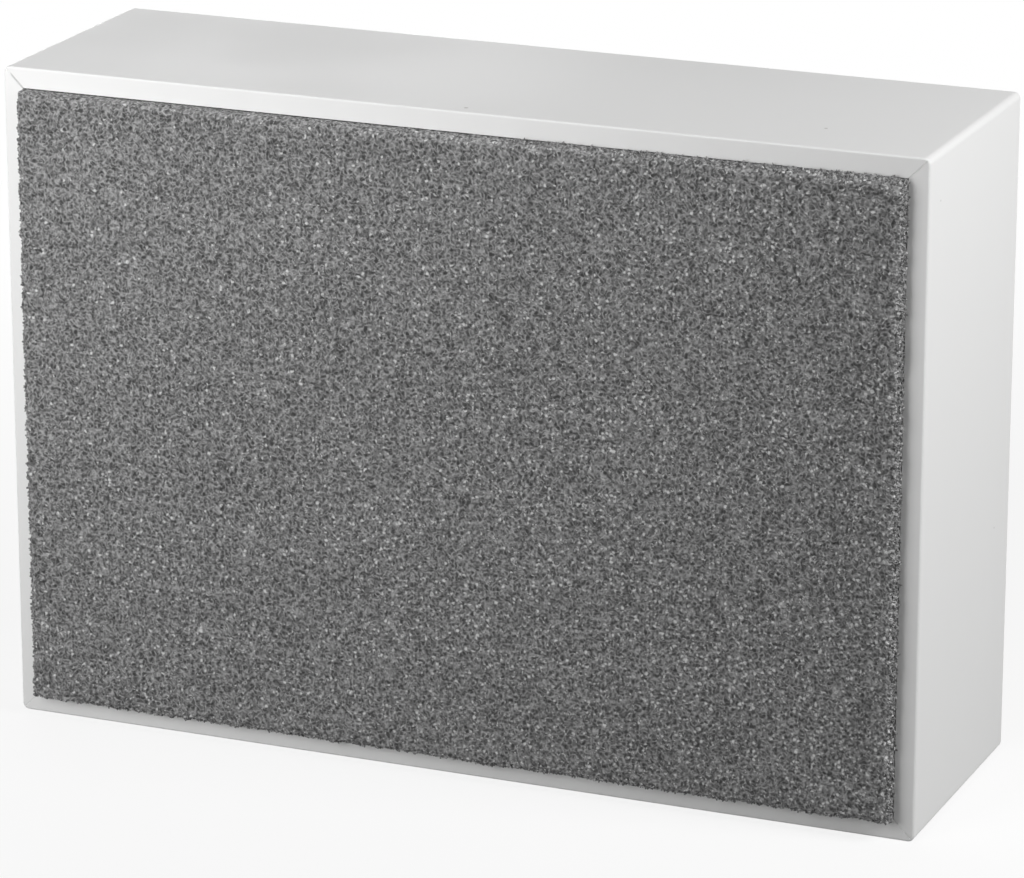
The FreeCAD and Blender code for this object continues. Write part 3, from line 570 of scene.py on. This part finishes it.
@dataclass(frozen=True)
class PulpFinish(Finish):
    """Pressed paper pulp or kraft paper: felted fibres of slightly different tones."""

    fibre: Colour = (0.3, 0.3, 0.3)
    fibre_span: tuple = (0.7, 1.0)
    fibre_strength: float = 0.5
    stretches: tuple = ((1.0, 1.0, 0.15), (0.15, 1.0, 1.0))
    relief: float = 0.05 * MM

    def wire(self, graph: Graph, surface: Any) -> None:
        """Felt the fibres and press their relief into the surface.

        Args:
            graph: the material's graph.
            surface: its shader's sockets.
        """
        place = graph.place()
        first, second = [
            graph.effect(grain_group(), {"Vector": place, "Scale": 500.0, "Stretch": stretch})
            for stretch in self.stretches
        ]
        felt = graph.math("MAXIMUM", first["Fine"], second["Fine"])
        thread = graph.span(felt, *self.fibre_span, 0.0, self.fibre_strength)
        graph.feed(surface["Base Color"], graph.blend(thread, self.colour, self.fibre))
        graph.feed(surface["Roughness"], self.varied_roughness(graph, first["Coarse"], swing=0.05))
        graph.feed(surface["Normal"], graph.bump(felt, self.relief, strength=0.6))


@dataclass(frozen=True)
class ClothFinish(Finish):
    """Resin-treated cloth: crossed threads, shiny where the resin pooled."""

    threads: float = 1500.0
    gap_span: tuple = (0.3, 0.8)
    # Painted shade between the threads: how dark the gaps are painted, and how strongly.
    painted_gap_shade: float = 0.35
    gap_strength: float = 0.6
    relief: float = 0.08 * MM

    def wire(self, graph: Graph, surface: Any) -> None:
        """Weave the threads, paint shade into the gaps between them and pool the resin in patches.

        Args:
            graph: the material's graph.
            surface: its shader's sockets.
        """
        place = graph.place()
        threads = graph.effect(weave_group(), {"Vector": place, "Threads": self.threads})["Height"]
        resin = self.drift(graph, place, scale=160.0, dark=0.7, spread=0.2)
        # Painted shade: darker in the low gaps between the threads.
        painted_gaps = graph.span(threads, *self.gap_span, self.gap_strength, 0.0)
        dark = shade(self.colour, self.painted_gap_shade)
        graph.feed(surface["Base Color"], graph.blend(painted_gaps, resin["Colour"], dark))
        graph.feed(surface["Roughness"], self.varied_roughness(graph, resin["Value"], swing=0.12))
        graph.feed(surface["Normal"], graph.bump(threads, self.relief, strength=0.7))


@dataclass(frozen=True)
class StackFinish(Finish):
    """A stack of thin layers seen on edge: sheet iron, wound wire or wound tape."""

    layer: float = 0.5 * MM
    along: tuple = (0.0, 1.0, 0.0)
    metallic: float = 0.0
    joint: tuple = (0.34, 0.5)
    joint_shade: float = 0.3
    layer_shade: float = 0.6
    layer_strength: float = 0.35
    groove: float = 0.06 * MM

    def wire(self, graph: Graph, surface: Any) -> None:
        """Draw the layers' dark joints and give each layer its own tone.

        Args:
            graph: the material's graph.
            surface: its shader's sockets.
        """
        place = graph.place()
        height = graph.vectors("DOT_PRODUCT", place, self.along)["Value"]
        count = graph.math("DIVIDE", height, self.layer)
        off = graph.math("ABSOLUTE", graph.math("SUBTRACT", graph.math("FRACT", count), 0.5))
        joint = graph.span(off, *self.joint)
        tone = graph.add("ShaderNodeTexWhiteNoise", {"W": graph.math("FLOOR", count)}, noise_dimensions="1D")
        lively = graph.scaled(tone.outputs["Value"], self.layer_strength)
        layers = graph.blend(lively, self.colour, shade(self.colour, self.layer_shade))
        drift = graph.noise(place, scale=220.0, detail=3.0)
        graph.feed(surface["Base Color"], graph.blend(joint, layers, shade(self.colour, self.joint_shade)))
        graph.feed(surface["Metallic"], self.metallic)
        graph.feed(surface["Roughness"], self.varied_roughness(graph, drift, swing=0.1))
        graph.feed(surface["Normal"], graph.bump(joint, -self.groove, strength=0.8))


class Slot(Enum):
    """The record's material slots, each with its finish."""

    CABINET_FOIL = FoilFinish("cabinet_foil", (0.87, 0.87, 0.865), 0.5)
    RAW_BOARD = BoardFinish("raw_board", (0.56, 0.43, 0.29), 0.78)
    DARK_BOARD = BoardFinish("dark_board", (0.04, 0.04, 0.042), 0.7, fleck=(0.1, 0.09, 0.08))
    FOAM = FoamFinish("foam", (0.6, 0.6, 0.6), 0.75)
    ZINC_STEEL = MetalFinish("zinc_steel", (0.62, 0.62, 0.61), 0.36)
    BASKET_PAINT = MouldedFinish("basket_paint", (0.06, 0.06, 0.065), 0.4)
    BRIGHT_STEEL = MetalFinish("bright_steel", (0.66, 0.67, 0.69), 0.3, worked=Surface.TURNED)
    FERRITE = MouldedFinish("ferrite", (0.09, 0.09, 0.095), 0.55, texture=0.08 * MM)
    PAPER = PulpFinish("paper", (0.07, 0.07, 0.075), 0.85, fibre=(0.16, 0.16, 0.16))
    CLOTH = ClothFinish("cloth", (0.24, 0.16, 0.07), 0.55)
    KRAFT = PulpFinish("kraft", (0.5, 0.36, 0.2), 0.7, fibre=(0.36, 0.24, 0.12))
    GASKET = MouldedFinish("gasket", (0.05, 0.05, 0.05), 0.85, texture=0.12 * MM)
    COPPER = StackFinish("copper", (0.72, 0.36, 0.18), 0.35, layer=0.25 * MM, metallic=1.0)
    BLACK_PLASTIC = MouldedFinish("black_plastic", (0.03, 0.03, 0.032), 0.42)
    CREAM_PLASTIC = MouldedFinish("cream_plastic", (0.74, 0.69, 0.57), 0.45, texture=0.02 * MM)
    PHENOLIC = PulpFinish("phenolic", (0.34, 0.19, 0.08), 0.45, fibre=(0.22, 0.11, 0.045))
    BRASS = MetalFinish("brass", (0.76, 0.6, 0.28), 0.3, worked=Surface.ROLLED)
    LAMINATIONS = StackFinish("laminations", (0.22, 0.22, 0.24), 0.45, layer=0.5 * MM, metallic=0.7)
    TAPE = StackFinish("tape", (0.72, 0.52, 0.1), 0.3, layer=9.0 * MM, along=(0.0, 0.0, 1.0))
    WIRE_SKIN = MouldedFinish("wire_skin", (0.36, 0.04, 0.03), 0.4, texture=0.02 * MM)


@cache
def finish(slot: Slot) -> bpy.types.Material:
    """Give the material of a slot, made the first time it is asked for."""
    return slot.value.material()


@dataclass
class FoamFront:
    """The foam sheet that fills the front: rough with open cells, rounded and frayed at its cut edges."""

    pitch: float = 0.86 * MM
    edge_radius: float = 2.0 * MM
    edge_steps: int = 3
    lip: float = 0.3 * MM
    lip_step: float = 0.25 * MM
    fade: float = 0.8 * MM
    cell_size: float = 1.5 * MM
    cell_depth: float = 0.4 * MM
    stray: float = 0.5 * MM
    sway: float = 0.6 * MM
    sway_size: float = 30.0 * MM
    fray: float = 2.0 * MM
    fray_size: float = 1.3 * MM
    fray_middle: float = 0.42
    fray_clear: float = 0.15 * MM
    top_fray: tuple = (0.2, 0.9)
    stub: float = 0.6 * MM
    stub_size: float = 0.5 * MM
    bristles: tuple = ((0.2, 0.25 * MM), (0.2, 0.45 * MM), (0.08, 0.65 * MM))
    bristle_width: float = 0.13 * MM
    bristle_from: float = 0.6
    seed: int = 7

    def build(self) -> None:
        """Model the sheet in the place of its CAD node."""
        low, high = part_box("foam_front")
        sheet = self.cut_sheet(low, high)
        self.mark_sides(sheet, low, high)
        self.swell(sheet)
        rest = self.points(sheet)
        self.open_cells(sheet)
        self.record_depth(sheet, rest)
        self.fray_edges(sheet)
        self.raise_bristles(sheet)
        sheet.data.materials.append(finish(Slot.FOAM))
        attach(sheet, "cabinet")
        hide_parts("foam_front")
        LOG.info("%s has %d faces", sheet.name, len(sheet.data.polygons))

    def cut_sheet(self, low: Vector, high: Vector) -> Piece:
        """Make the closed sheet: a fine front, rounded edges, fine open sides and a plain back.

        Args:
            low: the lowest corner of the CAD node.
            high: its highest corner.

        Returns:
            The smooth sheet.
        """
        size = high - low
        flat = Vector((size.x - 2 * self.edge_radius, 0.0, size.z - 2 * self.edge_radius))
        bpy.ops.object.select_all(action="DESELECT")
        bpy.ops.mesh.primitive_grid_add(
            x_subdivisions=round(flat.x / self.pitch),
            y_subdivisions=round(flat.z / self.pitch),
            size=1.0,
            location=((low.x + high.x) / 2, low.y, (low.z + high.z) / 2),
            rotation=(math.pi / 2, 0.0, 0.0),
        )
        sheet = bpy.context.object
        sheet.name = sheet.data.name = "foam_sheet"
        sheet.scale = (flat.x, flat.z, 1.0)
        bpy.ops.object.transform_apply(location=True, rotation=True, scale=True)
        bpy.ops.object.mode_set(mode="EDIT")
        bpy.ops.mesh.select_mode(type="EDGE")
        bpy.ops.mesh.select_all(action="DESELECT")
        bpy.ops.mesh.select_non_manifold(
            use_wire=False, use_multi_face=False, use_non_contiguous=False, use_verts=False
        )
        self.round_edges(flat)
        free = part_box("wall_top")[0].y - self.lip - low.y - self.edge_radius
        rows = math.ceil(free / self.pitch)
        for _ in range(rows):
            self.extrude_back(free / rows)
        self.extrude_back(self.lip_step)
        self.extrude_back(size.y - self.edge_radius - free - self.lip_step)
        bpy.ops.mesh.edge_face_add()
        self.refine_sides(sheet, low, high)
        bpy.ops.mesh.select_all(action="SELECT")
        bpy.ops.mesh.normals_make_consistent(inside=False)
        bpy.ops.object.mode_set(mode="OBJECT")
        return sheet

    def flat_front(self, low: Vector, high: Vector) -> tuple[Vector, Vector]:
        """Give the middle of the sheet and half the size of its flat front."""
        return (low + high) / 2, (high - low) / 2 - Vector((self.edge_radius, 0.0, self.edge_radius))

    def refine_sides(self, sheet: Piece, low: Vector, high: Vector) -> None:
        """Divide the faces of the rounded edges and sides, which show the cut cells in outline.

        Args:
            sheet: the foam sheet, in edit mode.
            low: the lowest corner of the CAD node.
            high: its highest corner.
        """
        bpy.ops.object.mode_set(mode="OBJECT")
        middle, flat = self.flat_front(low, high)
        for face in sheet.data.polygons:
            away = face.center - middle
            face.select = abs(away.x) > flat.x or abs(away.z) > flat.z
        bpy.ops.object.mode_set(mode="EDIT")
        bpy.ops.mesh.select_mode(type="FACE")
        bpy.ops.mesh.subdivide(number_cuts=1)

    def extrude_back(self, depth: float) -> None:
        """Extrude the selected rim towards the back."""
        bpy.ops.mesh.extrude_edges_move(TRANSFORM_OT_translate={"value": (0.0, depth, 0.0)})

    def round_edges(self, flat: Vector) -> None:
        """Carry the rim of the flat front round a quarter circle.

        Args:
            flat: the width and height of the flat front.
        """
        reach = 0.0
        drop = 0.0
        for step in range(1, self.edge_steps + 1):
            angle = step * math.pi / 2 / self.edge_steps
            depth = self.edge_radius * (1 - math.cos(angle))
            self.extrude_back(depth - drop)
            outward = self.edge_radius * math.sin(angle)
            grow = [(side + 2 * outward) / (side + 2 * reach) for side in (flat.x, flat.z)]
            bpy.ops.transform.resize(value=(grow[0], 1.0, grow[1]), center_override=(0.0, 0.0, 0.0))
            reach = outward
            drop = depth

    def points(self, sheet: Piece) -> np.ndarray:
        """Read the sheet's vertices.

        Args:
            sheet: the foam sheet.

        Returns:
            The vertices, as rows of three.
        """
        flat = np.empty(len(sheet.data.vertices) * 3)
        sheet.data.vertices.foreach_get("co", flat)
        return flat.reshape(-1, 3)

    def keep(self, sheet: Piece, name: str, values: np.ndarray) -> None:
        """Keep a value for each vertex as an attribute, held from 0 to 1, for the finish to read."""
        made = sheet.data.attributes.new(name, "FLOAT", "POINT")
        made.data.foreach_set("value", np.clip(values, 0.0, 1.0).astype(np.float32))

    def mark_sides(self, sheet: Piece, low: Vector, high: Vector) -> None:
        """Weight the vertices that stand free of the cabinet's rim, and the cut edges among them.

        Args:
            sheet: the foam sheet.
            low: the lowest corner of the CAD node, on its front.
            high: its highest corner.
        """
        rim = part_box("wall_top")[0].y
        free = sheet.vertex_groups.new(name=OPEN_SIDE)
        cut = sheet.vertex_groups.new(name=CUT_EDGE)
        middle, flat = self.flat_front(low, high)
        points = self.points(sheet)
        across = points[:, 0] - middle.x
        upward = points[:, 2] - middle.z
        beyond = np.maximum(np.abs(across) - flat.x, np.abs(upward) - flat.z)
        thin = np.clip(beyond / self.edge_radius, 0.0, 1.0)
        loose = np.where(upward > flat.z, np.interp(points[:, 0], (low.x, high.x), self.top_fray), 1.0)
        for index, ahead in enumerate(rim - points[:, 1]):
            if ahead > -self.fade:
                clear = min(1.0, (ahead + self.fade) / (2 * self.fade))
                free.add([index], clear * (1.0 - thin[index] / 2), "REPLACE")
            if thin[index] > 0.0 and ahead > self.fray_clear:
                reach = thin[index] * loose[index] * min(1.0, (ahead - self.fray_clear) / self.fray_clear)
                cut.add([index], reach, "REPLACE")
        # The finish paints light onto the thin edges by this attribute.
        self.keep(sheet, FoamFinish.edge, thin)

    def clouds(self, name: str, size: float, octaves: int = 2, kind: str = "GRAYSCALE") -> Any:
        """Make a cloud texture.

        Args:
            name: its name.
            size: the size of a cloud, in metres.
            octaves: how many finer clouds are added.
            kind: Blender's name of grey or coloured clouds.

        Returns:
            The texture.
        """
        made = bpy.data.textures.new(name, "CLOUDS")
        made.noise_scale = size
        made.noise_depth = octaves
        made.cloud_type = kind
        return made

    def swell(self, sheet: Piece) -> None:
        """Let the whole sheet lie a little uneven."""
        self.displace(sheet, self.clouds("foam_swell", self.sway_size), self.sway, "NORMAL", 0.5)

    def open_cells(self, sheet: Piece) -> None:
        """Sink the pores and jitter the struts between them.

        Args:
            sheet: the smooth sheet.
        """
        cells = bpy.data.textures.new("foam_cells", "VORONOI")
        cells.noise_scale = self.cell_size
        cells.weight_1 = -1.0
        cells.weight_2 = 1.0
        struts = self.clouds("foam_struts", self.cell_size / 2, octaves=1, kind="COLOR")
        self.displace(sheet, cells, -self.cell_depth, "NORMAL", 0.0)
        self.displace(sheet, struts, self.stray, "RGB_TO_XYZ", 0.5)

    def fray_edges(self, sheet: Piece) -> None:
        """Push the cut edges out in uneven lobes over the cabinet's rim, bristling with cut struts.

        Args:
            sheet: the rough sheet.
        """
        lobes = self.clouds("foam_lobes", self.fray_size)
        stubs = self.clouds("foam_stubs", self.stub_size, octaves=1, kind="COLOR")
        self.displace(sheet, lobes, self.fray, "NORMAL", self.fray_middle, CUT_EDGE)
        self.displace(sheet, stubs, self.stub, "RGB_TO_XYZ", 0.5, CUT_EDGE)

    def weight(self, point: bpy.types.MeshVertex, group: int) -> float:
        """Give the weight of a vertex in a group."""
        return sum(part.weight for part in point.groups if part.group == group)

    def raise_bristles(self, sheet: Piece) -> None:
        """Draw some faces of the cut edges out to points: the ends of struts that were cut through.

        Args:
            sheet: the frayed sheet.
        """
        luck = random.Random(self.seed)
        group = sheet.vertex_groups[CUT_EDGE].index
        held = [self.weight(point, group) > self.bristle_from for point in sheet.data.vertices]
        faces = [face for face in sheet.data.polygons if all(held[corner] for corner in face.vertices)]
        # Blender numbers these faces differently in each run, so the draw goes by where they lie.
        edge = [face.index for face in sorted(faces, key=lambda face: tuple(face.center))]
        for share, length in self.bristles:
            chosen = set(luck.sample(edge, round(share * len(edge))))
            edge = [index for index in edge if index not in chosen]
            for face in sheet.data.polygons:
                face.select = face.index in chosen
            bpy.ops.object.mode_set(mode="EDIT")
            bpy.ops.mesh.select_mode(type="FACE")
            bpy.ops.mesh.inset(use_individual=True, thickness=self.bristle_width, depth=length)
            bpy.ops.object.mode_set(mode="OBJECT")

    def displace(
        self,
        sheet: Piece,
        texture: Any,
        strength: float,
        way: str,
        middle: float,
        group: str = OPEN_SIDE,
    ) -> None:
        """Move a group of vertices by a texture and apply it.

        Args:
            sheet: the foam sheet.
            texture: the pattern that drives it.
            strength: how far its full value moves, in metres.
            way: Blender's name of the direction.
            middle: the value that leaves a vertex where it is.
            group: the vertex group that moves.
        """
        step = sheet.modifiers.new(texture.name, "DISPLACE")
        step.texture = texture
        step.texture_coords = "LOCAL"
        step.strength = strength
        step.direction = way
        step.mid_level = middle
        step.vertex_group = group
        bpy.context.view_layer.objects.active = sheet
        bpy.ops.object.modifier_apply(modifier=step.name)

    def record_depth(self, sheet: Piece, rest: np.ndarray) -> None:
        """Keep how deep each vertex has sunk into its pore since it was at rest; the finish paints shade by
        it.
        """
        sunk = np.linalg.norm(self.points(sheet) - rest, axis=1)
        self.keep(sheet, FoamFinish.depth, sunk / self.cell_depth)


@dataclass
class Assembly:
    """CAD nodes that belong together, listed by the slot of their finish."""

    nodes: tuple

    def dress(self) -> None:
        """Give every node its finish."""
        for slot, names in self.nodes:
            for name in names:
                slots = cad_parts[name].data.materials
                slots.clear()
                slots.append(finish(slot))
                LOG.info("%s finished in %s", name, slot.value.name)


@dataclass
class Cabinet(Assembly):
    """The mitred box, its boards and what hangs it on the wall."""

    nodes: tuple = (
        (Slot.CABINET_FOIL, ("wall_top", "wall_bottom", "wall_left", "wall_right")),
        (Slot.RAW_BOARD, ("corner_block_top_left", "corner_block_top_right")),
        (Slot.RAW_BOARD, ("corner_block_bottom_left", "corner_block_bottom_right", "rear_panel")),
        (Slot.DARK_BOARD, ("baffle_board",)),
        (Slot.ZINC_STEEL, ("hanger_plate_left", "hanger_plate_right", "hanger_screws", "rear_panel_screws")),
    )


@dataclass
class Terminals(Assembly):
    """The recessed cup at the back with its strip of clamps."""

    nodes: tuple = (
        (Slot.BLACK_PLASTIC, ("terminal_cup",)),
        (Slot.CREAM_PLASTIC, ("terminal_strip",)),
        (Slot.BRASS, ("terminal_clamps",)),
        (Slot.ZINC_STEEL, ("terminal_cup_screws", "terminal_screws")),
    )


@dataclass
class Driver(Assembly):
    """The dual-cone driver behind the foam."""

    nodes: tuple = (
        (Slot.PAPER, ("driver_cone", "driver_whizzer", "driver_dust_cap")),
        (Slot.CLOTH, ("driver_surround", "driver_spider")),
        (Slot.KRAFT, ("coil_former",)),
        (Slot.COPPER, ("coil_winding", "tinsel_leads")),
        (Slot.BASKET_PAINT, ("driver_basket",)),
        (Slot.GASKET, ("driver_gasket",)),
        (Slot.BRIGHT_STEEL, ("magnet_top_plate", "magnet_yoke")),
        (Slot.FERRITE, ("magnet_ring",)),
        (Slot.PHENOLIC, ("driver_tag_board",)),
        (Slot.BRASS, ("driver_tags",)),
        (Slot.ZINC_STEEL, ("driver_screws",)),
    )


@dataclass(frozen=True)
class Disc:
    """A pleated disc of the driver: its node, and the radii that it gives between."""

    node: str
    still: float
    moving: float


@dataclass
class Suspension:
    """What gives as the cone travels: pleated discs and leads, held by the basket and carried by the cone."""

    discs: tuple = (
        Disc("driver_surround", 51.0 * MM, 42.0 * MM),
        Disc("driver_spider", 29.5 * MM, 13.0 * MM),
    )
    sectors: int = 8
    leads: str = "tinsel_leads"
    lead_end: float = 1.5 * MM
    doubled: float = 0.002 * MM
    crease: float = 35.0

    def build(self) -> None:
        """Cut the discs into sectors and copy the leads, each as a piece in the place of its node."""
        for disc in self.discs:
            self.bend_disc(disc)
        low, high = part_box(self.leads)
        middle = (low + high) / 2
        held = Vector((middle.x, middle.y, high.z - self.lead_end))
        carried = Vector((middle.x, middle.y, low.z + self.lead_end))
        self.bend(self.copied(self.leads, "bent_leads"), self.leads, Slot.COPPER, held, carried)

    def bend_disc(self, disc: Disc) -> None:
        """Cut a disc into sectors along planes through the driver's axis, each a piece in the disc's place.

        Args:
            disc: the disc to cut.
        """
        low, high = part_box(disc.node)
        centre = (low + high) / 2
        half = math.pi / self.sectors
        for number in range(self.sectors):
            angle = 2 * half * number
            piece = self.copied(disc.node, f"{disc.node}_{number + 1}")
            self.cut(centre, angle - half, clear_inner=True)
            self.cut(centre, angle + half, clear_outer=True)
            outward = Vector((math.cos(angle), 0.0, math.sin(angle)))
            held = centre + outward * disc.still * math.cos(half)
            self.bend(piece, disc.node, Slot.CLOTH, held, centre + outward * disc.moving)

    def copied(self, node: str, name: str) -> Piece:
        """Copy a CAD node's mesh into a piece of its own and merge its doubled corners.

        Args:
            node: the node to copy.
            name: the piece's name.

        Returns:
            The piece, left in edit mode.
        """
        piece = bpy.data.objects.new(name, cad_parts[node].data.copy())
        piece.data.name = name
        bpy.context.scene.collection.objects.link(piece)
        bpy.ops.object.select_all(action="DESELECT")
        piece.select_set(True)
        bpy.context.view_layer.objects.active = piece
        bpy.ops.mesh.customdata_custom_splitnormals_clear()
        bpy.ops.object.mode_set(mode="EDIT")
        bpy.ops.mesh.select_all(action="SELECT")
        bpy.ops.mesh.remove_doubles(threshold=self.doubled)
        return piece

    def cut(self, centre: Vector, angle: float, **side: bool) -> None:
        """Cut the piece in edit mode along a plane through the driver's axis, and close the cut.

        Args:
            centre: a point on the axis.
            angle: the plane's turn about the axis, in radians.
            side: which side is cleared away.
        """
        bpy.ops.mesh.select_all(action="SELECT")
        turned = (-math.sin(angle), 0.0, math.cos(angle))
        bpy.ops.mesh.bisect(plane_co=centre, plane_no=turned, use_fill=True, **side)

    def bend(self, piece: Piece, node: str, slot: Slot, held: Vector, carried: Vector) -> None:
        """Smooth a finished piece's shading, bake its transform into its mesh and hide the node that it
        stands for.

        Args:
            piece: the piece, in edit mode.
            node: the node that it stands for.
            slot: the slot of its finish; not used.
            held: where it stops following the basket; not used.
            carried: where it follows the cone alone; not used.
        """
        bpy.ops.object.mode_set(mode="OBJECT")
        bpy.ops.object.shade_smooth_by_angle(angle=math.radians(self.crease))
        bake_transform(piece)
        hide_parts(node)
        LOG.info("%s has %d faces", piece.name, len(piece.data.polygons))


@dataclass
class Transformer(Assembly):
    """The line transformer on the baffle, and the wires to and from it."""

    nodes: tuple = (
        (Slot.LAMINATIONS, ("transformer_core",)),
        (Slot.CREAM_PLASTIC, ("transformer_bobbin",)),
        (Slot.TAPE, ("transformer_winding",)),
        (Slot.BRASS, ("transformer_pins",)),
        (Slot.ZINC_STEEL, ("transformer_bracket", "transformer_screws")),
        (Slot.WIRE_SKIN, ("line_wires", "speaker_wires")),
    )


@dataclass(frozen=True)
class Lamp:
    """One soft lamp: a square panel, with a grid before it where its spread is narrow."""

    name: str
    place: tuple
    aim: tuple
    side: float
    watts: float
    spread: float = 180.0
    mirrored: bool = True

    def build(self) -> None:
        """Hang the lamp and turn it to its aim; one that isn't mirrored lays no glare on a grazed face."""
        bpy.ops.object.light_add(type="AREA", location=self.place)
        lamp = bpy.context.object
        lamp.name = self.name
        lamp.data.size = self.side
        lamp.data.energy = self.watts
        lamp.data.spread = math.radians(self.spread)
        lamp.visible_glossy = self.mirrored
        lamp.rotation_euler = (Vector(self.aim) - Vector(self.place)).to_track_quat("-Z", "Y").to_euler()


@dataclass
class Studio:
    """A white room: floor, lamps, sky and the camera."""

    floor_side: float = 8.0
    floor_white: float = 0.25
    floor_glow: float = 0.82
    shadow_reach: tuple = (0.2, 0.6)
    sky: float = 0.075
    lamps: tuple = (
        Lamp("key_lamp", (-0.36, -0.6, 0.335), (-0.29, -0.08, 0.265), side=0.65, watts=2.35, spread=99.0),
        Lamp("side_lamp", (0.68, -0.13, 0.43), (0.0, -0.05, 0.0), side=0.35, watts=4.5, mirrored=False),
        Lamp("back_lamp", (-0.5, 0.6, 0.0), (0.0, -0.03, 0.0), side=0.5, watts=3.5),
    )
    camera_place: tuple = (0.5233, -1.2982, 0.4228)
    camera_yaw: float = 22.52
    camera_pitch: float = -17.56
    lens: float = 183.1
    nearest: float = 0.01

    def build(self) -> None:
        """Set up everything round the speaker."""
        self.lay_floor()
        self.light_sky()
        for lamp in self.lamps:
            lamp.build()
        self.set_camera()

    def lay_floor(self) -> None:
        """Lay the floor under the cabinet."""
        bpy.ops.object.select_all(action="DESELECT")
        bpy.ops.mesh.primitive_plane_add(size=self.floor_side, location=(0.0, 0.0, CAD_BOX[0].z))
        bpy.ops.object.transform_apply(location=True, rotation=True, scale=True)
        floor = bpy.context.object
        floor.name = "floor"
        floor.data.materials.append(self.floor_paint())

    def floor_paint(self) -> bpy.types.Material:
        """Make the floor's paint: white to the camera apart from the speaker's shadow.

        Returns:
            The material.
        """
        made = bpy.data.materials.new("white_floor")
        made.use_nodes = True
        graph = Graph(made.node_tree)
        seen = graph.seen()
        paint = graph.blend(seen, (self.floor_white,) * 3, WHITE)
        matt = graph.add("ShaderNodeBsdfDiffuse", {"Color": paint})
        glow = graph.add("ShaderNodeEmission", {"Color": WHITE, "Strength": 1.0})
        flat = graph.moved(graph.place(), Scale=(1.0, 1.0, 0.0))
        away = graph.vectors("LENGTH", flat)["Value"]
        share = graph.scaled(seen, graph.span(away, *self.shadow_reach, self.floor_glow, 1.0))
        mixed = graph.add("ShaderNodeMixShader", {0: share, 1: matt.outputs[0], 2: glow.outputs[0]})
        graph.add("ShaderNodeOutputMaterial", {"Surface": mixed.outputs[0]})
        return made

    def light_sky(self) -> None:
        """Light the room evenly from all round, and show white behind the speaker."""
        world = bpy.data.worlds.new("white_room")
        world.use_nodes = True
        bpy.context.scene.world = world
        graph = Graph(world.node_tree)
        strength = graph.level(graph.seen(), 0.0, 1.0, self.sky, 1.0)
        room = graph.add("ShaderNodeBackground", {"Color": WHITE, "Strength": strength})
        graph.add("ShaderNodeOutputWorld", {"Surface": room.outputs[0]})

    def set_camera(self) -> None:
        """Stand the camera where the photograph was taken from."""
        bpy.ops.object.camera_add(
            location=self.camera_place,
            rotation=(math.radians(90 + self.camera_pitch), 0.0, math.radians(self.camera_yaw)),
        )
        camera = bpy.context.object
        camera.data.lens = self.lens
        camera.data.clip_start = self.nearest
        bpy.context.scene.camera = camera
        bpy.context.scene.view_settings.view_transform = "Standard"


def main() -> None:
    """Build the speaker's looks and the room round it."""
    logging.basicConfig(level=logging.INFO, format="%(message)s")
    Cabinet().dress()
    FoamFront().build()
    Terminals().dress()
    Driver().dress()
    Suspension().build()
    Transformer().dress()
    Studio().build()


if __name__ == "__main__":
    main()
